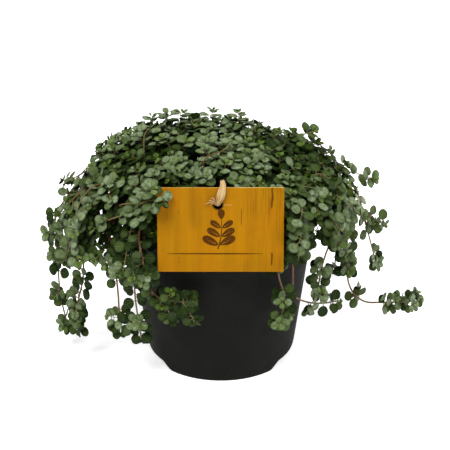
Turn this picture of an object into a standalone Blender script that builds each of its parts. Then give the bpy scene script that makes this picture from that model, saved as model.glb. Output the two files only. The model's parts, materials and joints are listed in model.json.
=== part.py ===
"""A trailing pilea in a round nursery pot, with a wooden tag hung on a raffia loop.

Everything is in metres with +Z up. The origin is the middle of the pot's underside, so the
pot stands on the plane z = 0. The tag is at the front, towards -Y. Every shoot is one piece
that grew as one: a square-sided stem with its leaves extruded from the stem's sides in
opposite pairs. Neighbouring pieces keep a small gap so that no two solids touch.
"""

import math
import random

import bmesh
import bpy
import numpy as np
from mathutils import Matrix, Vector

MM = 0.001
GAP = 0.3 * MM

# Pot
POT_HEIGHT = 100 * MM
POT_BASE_RADIUS = 46 * MM
POT_WALL_TOP_RADIUS = 58.2 * MM
POT_RIM_RADIUS = 60 * MM
POT_RIM_DEPTH = 9 * MM
POT_WALL = 1.2 * MM
POT_EDGE_ROUND = 1.2 * MM
POT_STEPS = 36

# Underside of the pot: a middle pad and an outer foot ring touch the surface, and the
# channel between them is raised, with drain holes that empty through notches in the ring.
FOOT_WIDTH = 2.6 * MM
PAD_RADIUS = 22 * MM
CHANNEL_HEIGHT = 4.5 * MM
DRAIN_HOLES = 6
DRAIN_HOLE_RADIUS = 3.5 * MM
DRAIN_CIRCLE_RADIUS = 33 * MM
NOTCH_AZIMUTHS = (-23, 90, 203)
NOTCH_WIDTH = 40 * MM
NOTCH_HEIGHT = 4.3 * MM
NOTCH_FLAT = 0.53

# Potting soil
SOIL_TOP = 90 * MM
SOIL_CROWN = 2 * MM

# Tag and the loop that holds it
TAG_WIDTH = 74.5 * MM
TAG_HEIGHT = 51.4 * MM
TAG_THICKNESS = 1.4 * MM
TAG_TILT = math.radians(10)
TAG_BELOW_RIM = 14.2 * MM
TAG_CORNER = 0.5 * MM
TAG_HOLE_RADIUS = 2.75 * MM
TAG_HOLE_BELOW_TOP = 10.4 * MM
TAG_HOLE_X = -1.5 * MM
TIE_RADIUS = 0.9 * MM
TIE_POINTS = 28
TIED_STEM_PLACE = Vector((0, -29 * MM, 0))

# Leaves and stems
STEM_RADIUS = 0.75 * MM
STEM_TIP_RADIUS = 0.4 * MM
STEM_STEP = 11 * MM
NODE_LENGTH = 1.3 * MM
LEAF_LENGTH = 8.4 * MM
LEAF_WIDTH = 8.2 * MM
LEAF_THICKNESS = 1.0 * MM
LEAF_WIDEST = 0.55
LEAF_TIP_SHARE = 0.5
LEAF_SPACING = 8.2 * MM
LEAF_CLEARANCE = 1.9 * MM

# Mound of foliage: its skin is half an ellipse in height, squarer and reaching further on the left.
DOME_BASE = 86 * MM
DOME_RISE = 63 * MM
DOME_RADIUS = 94 * MM
DOME_LEAN = 8 * MM
DOME_SHOULDER = 0.6
CROWN_SHOOTS = 18
CROWN_TIP_RADIUS = 60 * MM
CROWN_FIRST_AZIMUTH = 210
ROOT_RISE = 5 * MM
ARCHING_SHOOTS = 14
ARCHING_PHASE = 0.62
ARCHING_FRONT_REACH = 52 * MM
GOLDEN_ANGLE = math.pi * (3 - math.sqrt(5))
FRONT = -90
TAG_SECTOR = 44

# Trailing runners. Each route lists azimuth in degrees, radius and height in millimetres,
# from the pot's rim outwards; the first number of a row is the azimuth where it is rooted.
TRAILING_ROUTES = (
    (178, ((179, 62, 112), (180, 86, 107), (180, 97, 92), (181, 102, 62), (181, 102, 38),
           (181, 98, 14))),
    (192, ((191, 62, 110), (191, 80, 104), (193, 86, 82), (193, 88, 58), (192, 92, 38),
           (192, 92, 20))),
    (166, ((167, 62, 112), (168, 88, 107), (169, 102, 92), (170, 108, 76), (170, 107, 64))),
    (153, ((153, 62, 110), (154, 86, 103), (160, 94, 84), (165, 95, 62), (165, 96, 46))),
    (205, ((205, 61, 109), (207, 75, 101), (213, 77, 86), (216, 77, 60), (216, 77, 34))),
    (216, ((216, 61, 108), (220, 71, 99), (224, 72, 84), (224, 72, 62), (226, 70, 33))),
    (226, ((225, 60, 108), (226, 67, 94), (230, 68, 74), (237, 69, 66), (246, 67, 65),
           (256, 66, 66))),
    (236, ((231, 61, 112), (229, 73, 109), (233, 77, 94), (236, 76, 78))),
    (-51, ((-51, 61, 113), (-49, 73, 110), (-52, 76, 101), (-53, 76, 92))),
    (-62, ((-57, 61, 107), (-58, 64, 94), (-57, 64, 78), (-55, 67, 63), (-57, 65, 44))),
    (-41, ((-45, 61, 107), (-48, 65, 93), (-48, 65, 74), (-46, 64, 61), (-36, 65, 52),
           (-26, 70, 47), (-18, 77, 45))),
    (-22, ((-21, 61, 109), (-19, 75, 101), (-23, 73, 90), (-25, 69, 74), (-26, 67, 59))),
    (-8, ((-7, 62, 112), (-5, 78, 104), (-4, 79, 72), (-2, 81, 46), (-2, 90, 34),
          (-1, 104, 32), (-1, 126, 33))),
    (4, ((5, 62, 112), (6, 84, 105), (3, 91, 84), (3, 96, 66), (3, 99, 55))),
    (17, ((18, 62, 110), (18, 78, 102), (15, 80, 80), (14, 81, 60), (14, 83, 44))),
    (34, ((34, 62, 110), (36, 90, 104), (38, 98, 70), (37, 95, 24))),
    (54, ((54, 62, 110), (56, 84, 102), (57, 88, 55))),
    (74, ((74, 62, 111), (75, 91, 104), (75, 100, 66), (77, 97, 16))),
    (95, ((95, 62, 110), (95, 86, 101), (94, 92, 48))),
    (114, ((114, 62, 111), (113, 92, 103), (111, 102, 64), (112, 100, 22))),
    (134, ((134, 62, 110), (134, 86, 100), (135, 90, 40))),
)


def material(name, colour, roughness, metallic=0.0):
    """A Principled material with the given colour, roughness and metallic value."""
    made = bpy.data.materials.new(name)
    made.use_nodes = True
    shader = made.node_tree.nodes["Principled BSDF"]
    shader.inputs["Base Color"].default_value = (*colour, 1)
    shader.inputs["Roughness"].default_value = roughness
    shader.inputs["Metallic"].default_value = metallic
    made.diffuse_color = (*colour, 1)
    return made


def collection(name):
    made = bpy.data.collections.new(name)
    bpy.context.scene.collection.children.link(made)
    return made


def add_object(name, mesh, look, home):
    """Put a mesh in the scene as a named object with its own material."""
    made = bpy.data.objects.new(name, mesh)
    if look is not None:
        mesh.materials.append(look)
    home.objects.link(made)
    return made


def make_cutter(name, mesh, home):
    made = add_object(name, mesh, None, home)
    made.hide_render = True
    made.display_type = "WIRE"
    return made


def cut(target, cutter):
    boolean = target.modifiers.new("cut_" + cutter.name, "BOOLEAN")
    boolean.operation = "DIFFERENCE"
    boolean.solver = "EXACT"
    boolean.object = cutter


def smooth(mesh, sharp_angle=35):
    mesh.shade_smooth()
    mesh.set_sharp_from_angle(angle=math.radians(sharp_angle))


def turned(name, profile, look, home):
    """A closed round body from a profile that starts and ends on the axis."""
    mesh = bpy.data.meshes.new(name)
    edges = [(i, i + 1) for i in range(len(profile) - 1)]
    mesh.from_pydata([(radius, 0, height) for radius, height in profile], edges, [])
    made = add_object(name, mesh, look, home)
    screw = made.modifiers.new("turn", "SCREW")
    screw.steps = POT_STEPS
    screw.render_steps = POT_STEPS
    screw.use_merge_vertices = True
    screw.merge_threshold = 0.05 * MM
    screw.use_smooth_shade = True
    return made


def polar(azimuth_degrees, radius, height):
    azimuth = math.radians(azimuth_degrees)
    return Vector((radius * math.cos(azimuth), radius * math.sin(azimuth), height))


def wall_radius(height):
    """Outer radius of the pot's conical wall."""
    share = height / (POT_HEIGHT - POT_RIM_DEPTH)
    return POT_BASE_RADIUS + (POT_WALL_TOP_RADIUS - POT_BASE_RADIUS) * share


def soil_height(radius):
    inner = wall_radius(SOIL_TOP) - POT_WALL
    return SOIL_TOP + SOIL_CROWN * (1 - (radius / inner) ** 2)


def dome_reach(azimuth_degrees):
    """How far the mound reaches from the pot's axis at an azimuth."""
    return DOME_RADIUS - DOME_LEAN * math.cos(math.radians(azimuth_degrees))


def dome_power(azimuth_degrees):
    """The power of the mound's section: 2 is an ellipse, and more is squarer, as on the left."""
    return 2 + DOME_SHOULDER * max(0, -math.cos(math.radians(azimuth_degrees)))


def dome_height(azimuth_degrees, radius):
    share = min(radius / dome_reach(azimuth_degrees), 1)
    power = dome_power(azimuth_degrees)
    return DOME_BASE + DOME_RISE * (1 - share ** power) ** (1 / power)


def floor_profile(lift, inset):
    """The pot's floor from the middle outwards, raised by lift and drawn in by inset."""
    foot_inner = POT_BASE_RADIUS - POT_EDGE_ROUND - FOOT_WIDTH
    return [
        (0, lift),
        (PAD_RADIUS - inset, lift),
        (PAD_RADIUS + CHANNEL_HEIGHT / 2 - inset, CHANNEL_HEIGHT + lift),
        (foot_inner - CHANNEL_HEIGHT / 4, CHANNEL_HEIGHT + lift),
    ]


def make_pot(look, home, cutters):
    """Thin tapering pot with a rolled band at the rim, a raised drain channel and notches."""
    rim_base = POT_HEIGHT - POT_RIM_DEPTH
    inner = floor_profile(POT_WALL, 0)
    inner += [
        (wall_radius(CHANNEL_HEIGHT + 2 * POT_WALL) - POT_WALL, CHANNEL_HEIGHT + 2 * POT_WALL),
        (wall_radius(rim_base) - POT_WALL, rim_base),
        (POT_RIM_RADIUS - 2 * POT_WALL, POT_HEIGHT - POT_WALL),
        (POT_RIM_RADIUS - 1.5 * POT_WALL, POT_HEIGHT),
    ]
    outer = [
        (POT_RIM_RADIUS - POT_WALL / 3, POT_HEIGHT),
        (POT_RIM_RADIUS, POT_HEIGHT - POT_WALL / 2),
        (POT_RIM_RADIUS, rim_base + POT_WALL),
        (wall_radius(rim_base), rim_base),
        (wall_radius(POT_EDGE_ROUND), POT_EDGE_ROUND),
        (POT_BASE_RADIUS - POT_EDGE_ROUND * 0.35, POT_EDGE_ROUND * 0.3),
        (POT_BASE_RADIUS - POT_EDGE_ROUND, 0),
        (POT_BASE_RADIUS - POT_EDGE_ROUND - FOOT_WIDTH, 0),
    ]
    underside = list(reversed(floor_profile(0, POT_WALL)))
    pot = turned("pot", inner + outer + underside, look, home)

    for index in range(DRAIN_HOLES):
        hole = bmesh.new()
        bmesh.ops.create_cone(hole, cap_ends=True, segments=14, radius1=DRAIN_HOLE_RADIUS,
                              radius2=DRAIN_HOLE_RADIUS, depth=8 * POT_WALL)
        azimuth = 360 / DRAIN_HOLES * index + 4
        place = Matrix.Translation(polar(azimuth, DRAIN_CIRCLE_RADIUS, CHANNEL_HEIGHT))
        bmesh.ops.transform(hole, matrix=place, verts=hole.verts)
        cut(pot, make_cutter(f"drain_hole_cutter_{index + 1}", to_mesh(hole, "drain"), cutters))

    for index, azimuth in enumerate(NOTCH_AZIMUTHS):
        cut(pot, make_cutter(f"notch_cutter_{index + 1}", notch_mesh(azimuth), cutters))
    return pot


def to_mesh(bm, name):
    bmesh.ops.recalc_face_normals(bm, faces=bm.faces)
    mesh = bpy.data.meshes.new(name)
    bm.to_mesh(mesh)
    bm.free()
    return mesh


def notch_shape(across):
    """How high a notch is, from 0 at its ends (across -1 and 1) to 1 over its flat middle."""
    slope = max(0, (abs(across) - NOTCH_FLAT) / (1 - NOTCH_FLAT))
    return 1 - slope * slope * (3 - 2 * slope)


def notch_mesh(azimuth):
    """A low flat-topped arch that reaches through the foot ring at the given azimuth."""
    bm = bmesh.new()
    below = -2 * NOTCH_HEIGHT
    steps = 16
    outline = [Vector((0, -NOTCH_WIDTH / 2, below))]
    for step in range(steps + 1):
        across = step / steps * 2 - 1
        rise = NOTCH_HEIGHT * notch_shape(across)
        outline.append(Vector((0, across * NOTCH_WIDTH / 2, rise - 0.05 * MM)))
    outline.append(Vector((0, NOTCH_WIDTH / 2, below)))
    face = bm.faces.new([bm.verts.new(point) for point in outline])
    grown = bmesh.ops.extrude_face_region(bm, geom=[face])
    moved = [item for item in grown["geom"] if isinstance(item, bmesh.types.BMVert)]
    bmesh.ops.translate(bm, vec=(5 * FOOT_WIDTH, 0, 0), verts=moved)
    start = POT_BASE_RADIUS - 3 * FOOT_WIDTH
    turn = Matrix.Rotation(math.radians(azimuth), 4, "Z") @ Matrix.Translation((start, 0, 0))
    bmesh.ops.transform(bm, matrix=turn, verts=bm.verts)
    return to_mesh(bm, "notch")


def make_soil(look, home):
    """Potting soil: fills the pot from its floor to a low crown under the rim."""
    lift = POT_WALL + GAP
    bottom = CHANNEL_HEIGHT + 2 * POT_WALL + GAP
    side_gap = POT_WALL + GAP
    profile = [(0, SOIL_TOP + SOIL_CROWN)]
    for share in (0.55, 0.93):
        radius = (wall_radius(SOIL_TOP) - side_gap) * share
        profile.append((radius, soil_height(radius)))
    profile.append((wall_radius(SOIL_TOP) - side_gap, SOIL_TOP - GAP))
    profile.append((wall_radius(bottom) - side_gap, bottom))
    profile += list(reversed(floor_profile(lift, 2 * GAP)))
    return turned("potting_soil", profile, look, home)


def tag_frame():
    """The tag's own frame: X across, Y from front to back, Z up the board, origin at its middle."""
    back_at_rim = -(POT_RIM_RADIUS + GAP)
    up = Vector((0, math.sin(TAG_TILT), math.cos(TAG_TILT)))
    through = Vector((0, math.cos(TAG_TILT), -math.sin(TAG_TILT)))
    touch = Vector((0, back_at_rim, POT_HEIGHT))
    middle = touch - through * (TAG_THICKNESS / 2) + up * (TAG_HEIGHT / 2 - TAG_BELOW_RIM)
    axes = Matrix((Vector((1, 0, 0)), through, up)).transposed().to_4x4()
    return Matrix.Translation(middle) @ axes


def make_tag(look, home, cutters):
    """Thin wooden board with a hole near its top edge, leaning back against the rim."""
    board = bmesh.new()
    bmesh.ops.create_cube(board, size=1)
    bmesh.ops.scale(board, vec=(TAG_WIDTH, TAG_THICKNESS, TAG_HEIGHT), verts=board.verts)
    mesh = to_mesh(board, "hang_tag")
    tag = add_object("hang_tag", mesh, look, home)
    tag.matrix_world = tag_frame()
    bevel = tag.modifiers.new("corners", "BEVEL")
    bevel.width = TAG_CORNER
    bevel.segments = 1

    punch = bmesh.new()
    bmesh.ops.create_cone(punch, cap_ends=True, segments=20, radius1=TAG_HOLE_RADIUS,
                          radius2=TAG_HOLE_RADIUS, depth=6 * TAG_THICKNESS)
    lie_along = Matrix.Rotation(math.radians(90), 4, "X")
    height = TAG_HEIGHT / 2 - TAG_HOLE_BELOW_TOP
    place = tag_frame() @ Matrix.Translation((TAG_HOLE_X, 0, height)) @ lie_along
    bmesh.ops.transform(punch, matrix=place, verts=punch.verts)
    cut(tag, make_cutter("tag_hole_cutter", to_mesh(punch, "tag_hole"), cutters))
    return tag


def smooth_route(points, count):
    """Points along a smooth curve through the given points, evenly spaced by length."""
    padded = [2 * points[0] - points[1], *points, 2 * points[-1] - points[-2]]
    dense = []
    for index in range(1, len(padded) - 2):
        before, start, end, after = padded[index - 1:index + 3]
        for step in range(16):
            t = step / 16
            dense.append(0.5 * (2 * start + (end - before) * t
                                + (2 * before - 5 * start + 4 * end - after) * t ** 2
                                + (3 * start - before - 3 * end + after) * t ** 3))
    dense.append(points[-1])
    lengths = [0]
    for near, far in zip(dense, dense[1:]):
        lengths.append(lengths[-1] + (far - near).length)
    even = []
    for step in range(count):
        wanted = lengths[-1] * step / (count - 1)
        index = max(i for i, length in enumerate(lengths[:-1]) if length <= wanted)
        share = (wanted - lengths[index]) / (lengths[index + 1] - lengths[index])
        even.append(dense[index].lerp(dense[index + 1], share))
    return even


def tie_route():
    """Closed loop: round a crown stem, over the tag's top edge, down its face, back by the hole."""
    frame = tag_frame()
    top = TAG_HEIGHT / 2
    hole = top - TAG_HOLE_BELOW_TOP
    clear = TAG_THICKNESS / 2 + TIE_RADIUS + GAP
    on_tag = [
        (TAG_HOLE_X, 4 * clear, hole - 1 * MM),
        (TAG_HOLE_X, clear, hole - 0.6 * MM),
        (TAG_HOLE_X, 0, hole - 0.4 * MM),
        (TAG_HOLE_X, -clear, hole + 0.6 * MM),
        (TAG_HOLE_X + 1.5 * MM, -clear - 0.6 * MM, hole + 5 * MM),
        (TAG_HOLE_X + 2.6 * MM, -clear - 0.1 * MM, top - 0.4 * MM),
        (TAG_HOLE_X + 2.8 * MM, 0, top + clear + 1.2 * MM),
        (TAG_HOLE_X + 3 * MM, 3 * clear, top + clear + 0.8 * MM),
    ]
    stem = TIED_STEM_PLACE
    behind = [
        Vector((stem.x + 3.2 * MM, stem.y - 4 * MM, 128 * MM)),
        Vector((stem.x + 2.6 * MM, stem.y + 1.6 * MM, 123 * MM)),
        Vector((stem.x, stem.y + 3.2 * MM, 120 * MM)),
        Vector((stem.x - 2.6 * MM, stem.y + 1.4 * MM, 118.5 * MM)),
        Vector((stem.x - 3 * MM, stem.y - 5 * MM, 119 * MM)),
    ]
    points = [frame @ Vector(point) for point in on_tag] + behind
    return smooth_route([*points, points[0]], TIE_POINTS + 1)[:-1]


def make_tie(look, home):
    """Raffia loop: a thin closed tube."""
    curve = bpy.data.curves.new("tag_tie", "CURVE")
    curve.dimensions = "3D"
    curve.bevel_depth = TIE_RADIUS
    curve.bevel_resolution = 2
    spline = curve.splines.new("POLY")
    route = tie_route()
    spline.points.add(len(route) - 1)
    for point, place in zip(spline.points, route):
        point.co = (*place, 1)
    spline.use_cyclic_u = True
    return add_object("tag_tie", curve, look, home)


def rooted(azimuth, radius):
    """Where a stem leaves the soil, and the point just above it that makes it start upright."""
    height = soil_height(radius) + GAP
    return [polar(azimuth, radius, height), polar(azimuth, radius, height + ROOT_RISE)]


def crown_route(index):
    """A crown shoot: rises from the soil and leans outwards, spread evenly by the golden angle."""
    share = math.sqrt((index + 0.5) / CROWN_SHOOTS)
    azimuth = CROWN_FIRST_AZIMUTH + math.degrees(index * GOLDEN_ANGLE)
    reach = CROWN_TIP_RADIUS * share * dome_reach(azimuth) / DOME_RADIUS
    off_front = abs((azimuth - FRONT + 180) % 360 - 180)
    if off_front < TAG_SECTOR:
        reach = min(reach, 47 * MM)
    root = 0.42 * reach
    top = dome_height(azimuth, reach) - 3 * MM
    return rooted(azimuth, root) + [
        polar(azimuth, root + 0.1 * reach, 0.6 * SOIL_TOP + 0.4 * top),
        polar(azimuth, 0.7 * reach, 0.25 * SOIL_TOP + 0.75 * top),
        polar(azimuth, reach, top),
    ]


def arching_route(index):
    """An arching shoot: rises between the crown and the runners and bends over towards the rim."""
    open_sector = 360 - 2 * TAG_SECTOR
    azimuth = FRONT + TAG_SECTOR + open_sector * (index + ARCHING_PHASE) / ARCHING_SHOOTS
    reach = dome_reach(azimuth) + 3 * MM * math.sin(2.1 * index)
    forwards = -math.sin(math.radians(azimuth + 3))
    if forwards > 0:
        reach = min(reach, ARCHING_FRONT_REACH / forwards)
    tip = (90 + 13 * math.sin(1.3 * index + 1)) * MM
    return rooted(azimuth, 36 * MM) + [
        polar(azimuth, 46 * MM, 113 * MM),
        polar(azimuth + 2, 0.7 * reach, 127 * MM),
        polar(azimuth + 3, 0.9 * reach, 108 * MM),
        polar(azimuth + 3, reach, tip),
    ]


def trailing_route(root_azimuth, waypoints):
    """A trailing runner: rooted near the rim, over it and down outside the pot."""
    points = rooted(root_azimuth, 48 * MM)
    points += [polar(azimuth, radius * MM, height * MM) for azimuth, radius, height in waypoints]
    return points


def tied_route():
    """The crown stem that the tag's loop goes round."""
    foot = TIED_STEM_PLACE
    return rooted(FRONT, foot.length) + [
        Vector((foot.x, foot.y, 112 * MM)),
        Vector((foot.x, foot.y - 0.5 * MM, 126 * MM)),
        Vector((foot.x + 3 * MM, foot.y - 6 * MM, 143 * MM)),
    ]


def stem_frames(route):
    """Forward, outer-side and sideways directions along a route, without twist."""
    forwards = []
    for index in range(len(route)):
        near = route[max(index - 1, 0)]
        far = route[min(index + 1, len(route) - 1)]
        forwards.append((far - near).normalized())
    outward = Vector((route[-1].x - route[0].x, route[-1].y - route[0].y, 0)).normalized()
    side = outward.cross(Vector((0, 0, 1)))
    frames = []
    for forward in forwards:
        side = (side - forward * side.dot(forward)).normalized()
        frames.append((forward, side.cross(forward), side))
    return frames


def leaf_directions(frame, pair, rng):
    """The two opposite leaves of a pair: along, across and facing directions for each."""
    forward, outer, side = frame
    lean = rng.uniform(0.15, 0.45)
    droop = rng.uniform(-0.25, 0.15)
    leaves = []
    for sign in (1, -1):
        if pair % 2 == 0:
            along = (side * sign + forward * lean + outer * droop).normalized()
            across = (forward - along * forward.dot(along)).normalized()
        else:
            along = (outer * sign * 0.75 + forward * (0.5 + lean)).normalized()
            across = side.copy()
        leaves.append((along, across, along.cross(across)))
    return leaves


def leaf_rings(root, along, across, facing, size):
    """Corners of a leaf's widest section and of its sharp tip edge, as signs across and facing."""
    rings = []
    for share, width, depth in ((LEAF_WIDEST, 1, 1), (1, LEAF_TIP_SHARE, 0)):
        middle = root + along * (LEAF_LENGTH * size * share)
        rings.append({
            (a, b): middle + across * (a * LEAF_WIDTH * size * width / 2)
            + facing * (b * LEAF_THICKNESS * depth / 2)
            for a in (-1, 1) for b in (-1, 1)
        })
    return rings


def leaf_samples(root, along, across, size):
    """Points spread over a leaf, for keeping it clear of other pieces."""
    samples = []
    for share, width in ((0.2, 0.4), (0.4, 0.85), (0.6, 1), (0.8, 0.8), (1, 0.5)):
        for sideways in (-1, -0.5, 0, 0.5, 1):
            spot = root + along * (LEAF_LENGTH * size * share)
            samples.append(spot + across * (sideways * width * LEAF_WIDTH * size / 2))
    return samples


class Surroundings:
    """What leaves and stems have to stay clear of: fixed pieces and the shoots made so far."""

    def __init__(self):
        self.tag_inverse = tag_frame().inverted()
        self.tie = np.array([point[:] for point in tie_route()])
        self.owners = np.zeros(0, dtype=int)
        self.points = np.zeros((0, 3))

    def add(self, owner, points):
        new = np.array([point[:] for point in points])
        self.points = np.vstack([self.points, new])
        self.owners = np.concatenate([self.owners, np.full(len(new), owner)])

    def hits_fixed(self, point, margin):
        radius = math.hypot(point.x, point.y)
        if point.z < soil_height(0) + margin and radius < POT_RIM_RADIUS:
            return True
        if point.z < POT_HEIGHT + margin:
            inside_rim = POT_RIM_RADIUS - 2 * POT_WALL - margin
            if inside_rim < radius < POT_RIM_RADIUS + margin:
                return True
        if point.z < margin:
            return True
        local = self.tag_inverse @ point
        if (abs(local.x) < TAG_WIDTH / 2 + margin and abs(local.z) < TAG_HEIGHT / 2 + margin
                and abs(local.y) < TAG_THICKNESS / 2 + margin):
            return True
        away = np.linalg.norm(self.tie - np.array(point[:]), axis=1).min()
        return away < TIE_RADIUS + 2 * margin

    def free(self, owner, points, margin, clearance):
        if any(self.hits_fixed(point, margin) for point in points):
            return False
        others = self.points[self.owners != owner]
        if not len(others):
            return True
        for point in points:
            if np.linalg.norm(others - np.array(point[:]), axis=1).min() < clearance:
                return False
        return True


def extrude_to(bm, face, place_of):
    """Extrude one face, move each new corner to where place_of says, and open what it covered."""
    covered = any(len(edge.link_faces) > 1 for edge in face.edges)
    grown = bmesh.ops.extrude_face_region(bm, geom=[face])
    corners = [item for item in grown["geom"] if isinstance(item, bmesh.types.BMVert)]
    places = [place_of(corner.co) for corner in corners]
    for corner, place in zip(corners, places):
        corner.co = place
    if covered:
        bm.faces.remove(face)
    return next(item for item in grown["geom"] if isinstance(item, bmesh.types.BMFace))


def ring_corners(centre, frame, radius):
    _, outer, side = frame
    return {(a, b): centre + (side * a + outer * b) * radius * math.sqrt(0.5)
            for a in (-1, 1) for b in (-1, 1)}


def signs(offset, first, second):
    return (1 if offset.dot(first) > 0 else -1, 1 if offset.dot(second) > 0 else -1)


def grow_leaf(bm, face, root, directions, size):
    along, across, facing = directions
    for ring in leaf_rings(root, along, across, facing, size):
        middle = face.calc_center_median()
        face = extrude_to(bm, face, lambda co, at=middle, to=ring: to[signs(co - at, across, facing)])


def shoot_mesh(name, owner, route, leafy_from, surroundings, rng):
    """One shoot: a stem grown by extruding its end, with leaves extruded from its sides."""
    length = sum((b - a).length for a, b in zip(route, route[1:]))
    dense = smooth_route(route, 200)
    frames = stem_frames(dense)

    def at(distance):
        index = min(int(round(distance / length * 199)), 199)
        return dense[index], frames[index]

    stations = []
    bare_end = leafy_from * length
    bare_steps = max(int(math.ceil(bare_end / STEM_STEP)), 1)
    for step in range(bare_steps):
        stations.append((bare_end * step / bare_steps, False))
    pairs = max(int((length - bare_end) / LEAF_SPACING), 2)
    for pair in range(pairs):
        distance = bare_end + (length - bare_end - 2 * NODE_LENGTH) * pair / (pairs - 1)
        stations.append((distance, True))
        stations.append((distance + NODE_LENGTH, False))
    stations.append((length, False))

    bm = bmesh.new()
    start, frame = at(0)
    corners = ring_corners(start, frame, STEM_RADIUS)
    order = ((-1, -1), (1, -1), (1, 1), (-1, 1))
    cap = bm.faces.new([bm.verts.new(corners[key]) for key in order])
    centre = start
    pair = 0
    for (distance, is_node), (following, _) in zip(stations, stations[1:]):
        taper = following / length
        radius = STEM_RADIUS + (STEM_TIP_RADIUS - STEM_RADIUS) * taper
        spot, frame_here = at(following)
        ring = ring_corners(spot, frame_here, radius)
        _, outer, side = at(distance)[1]
        before = set(bm.faces)
        cap = extrude_to(bm, cap, lambda co: ring[signs(co - centre, side, outer)])
        walls = [face for face in bm.faces if face not in before and face is not cap]
        if is_node:
            root = centre.lerp(spot, 0.5)
            size = rng.uniform(0.85, 1.1) * (0.8 if following > length - 3 * NODE_LENGTH else 1)
            for directions in leaf_directions(frame_here, pair, rng):
                along, across, facing = directions
                samples = leaf_samples(root, along, across, size)
                if not surroundings.free(owner, samples, 1.2 * MM, LEAF_CLEARANCE):
                    continue
                surroundings.add(owner, samples)
                wall = max(walls, key=lambda face: (face.calc_center_median() - root).dot(along))
                walls.remove(wall)
                grow_leaf(bm, wall, root, directions, size)
            pair += 1
        centre = spot
    bmesh.ops.remove_doubles(bm, verts=bm.verts, dist=0.01 * MM)
    return to_mesh(bm, name)


def make_shoots(look, home):
    """All shoots: crown, arching and trailing, each one solid in its own object."""
    shoots = [("crown_shoot_01", tied_route(), 0.62)]
    for index in range(CROWN_SHOOTS):
        shoots.append((f"crown_shoot_{index + 2:02d}", crown_route(index), 0.45))
    for index in range(ARCHING_SHOOTS):
        shoots.append((f"arching_shoot_{index + 1:02d}", arching_route(index), 0.4))
    for index, (azimuth, waypoints) in enumerate(TRAILING_ROUTES):
        route = trailing_route(azimuth, waypoints)
        shoots.append((f"trailing_runner_{index + 1:02d}", route, 0.25))

    surroundings = Surroundings()
    for owner, (_, route, _) in enumerate(shoots):
        surroundings.add(owner, smooth_route(route, 90))
    rng = random.Random(12)
    for owner, (name, route, leafy_from) in enumerate(shoots):
        mesh = shoot_mesh(name, owner, route, leafy_from, surroundings, rng)
        add_object(name, mesh, look, home)


def main():
    for old in list(bpy.data.objects):
        bpy.data.objects.remove(old, do_unlink=True)
    home = collection("potted_pilea")
    cutters = collection("cutters")

    pot = make_pot(material("pot_plastic", (0.016, 0.017, 0.014), 0.55), home, cutters)
    smooth(pot.data)
    make_soil(material("potting_soil", (0.035, 0.022, 0.014), 0.95), home)
    make_tag(material("tag_wood", (0.52, 0.23, 0.015), 0.6), home, cutters)
    make_tie(material("raffia", (0.62, 0.44, 0.24), 0.8), home)
    make_shoots(material("foliage", (0.13, 0.2, 0.1), 0.6), home)


main()
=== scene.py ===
"""Potted pilea: the finished look of the plant, its nursery pot, wooden tag and raffia loop.

The file is laid out as an add-on. Each operator makes one piece or one group of like pieces
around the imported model, and the panel in the sidebar lists them. Run as a script, it
registers its classes and calls the operators in order. Everything is in metres with +Z up,
the pot stands on z = 0, and the tag is at the front, towards -Y.
"""

import json
import math
import random
from collections import namedtuple
from itertools import product

import bmesh
import bpy
from mathutils import Matrix, Vector, noise
from mathutils.kdtree import KDTree

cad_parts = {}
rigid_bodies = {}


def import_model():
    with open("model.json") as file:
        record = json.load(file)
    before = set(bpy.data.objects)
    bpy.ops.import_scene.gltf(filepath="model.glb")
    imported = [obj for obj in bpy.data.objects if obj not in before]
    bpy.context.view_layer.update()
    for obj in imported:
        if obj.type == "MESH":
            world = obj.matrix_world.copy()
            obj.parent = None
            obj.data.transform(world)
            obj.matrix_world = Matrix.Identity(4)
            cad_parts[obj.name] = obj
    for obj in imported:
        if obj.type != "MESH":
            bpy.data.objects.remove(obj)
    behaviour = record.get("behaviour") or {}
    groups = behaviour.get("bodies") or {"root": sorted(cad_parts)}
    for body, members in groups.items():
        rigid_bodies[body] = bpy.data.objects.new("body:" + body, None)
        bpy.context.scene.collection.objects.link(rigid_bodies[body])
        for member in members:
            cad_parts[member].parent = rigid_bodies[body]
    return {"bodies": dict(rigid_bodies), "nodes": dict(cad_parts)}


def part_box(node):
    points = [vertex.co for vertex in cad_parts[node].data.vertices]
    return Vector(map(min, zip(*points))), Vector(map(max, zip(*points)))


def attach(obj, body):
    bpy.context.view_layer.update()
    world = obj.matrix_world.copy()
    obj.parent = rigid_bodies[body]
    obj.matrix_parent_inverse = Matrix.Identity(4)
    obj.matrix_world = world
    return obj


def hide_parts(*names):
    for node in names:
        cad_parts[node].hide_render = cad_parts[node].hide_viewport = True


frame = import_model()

bl_info = {
    "name": "Potted pilea",
    "version": (1, 0, 0),
    "blender": (4, 5, 0),
    "location": "View3D > Sidebar > Pilea",
    "description": "Makes a trailing pilea in its nursery pot with a wooden tag",
    "category": "Add Mesh",
}

MM = 0.001
UP = Vector((0, 0, 1))
# Noise vectors would differ from run to run without a seed.
NOISE_SEED = 3

_, POT_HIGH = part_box("pot")
_, SOIL_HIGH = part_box("potting_soil")
TAG_LOW, TAG_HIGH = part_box("hang_tag")

# Pot
POT_HEIGHT = POT_HIGH.z
POT_RIM_RADIUS = POT_HIGH.x
POT_BASE_RADIUS = 46 * MM
POT_WALL_TOP_RADIUS = 58.2 * MM
POT_RIM_DEPTH = 9 * MM
POT_WALL = 1.2 * MM
POT_SEGMENTS = 144
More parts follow.
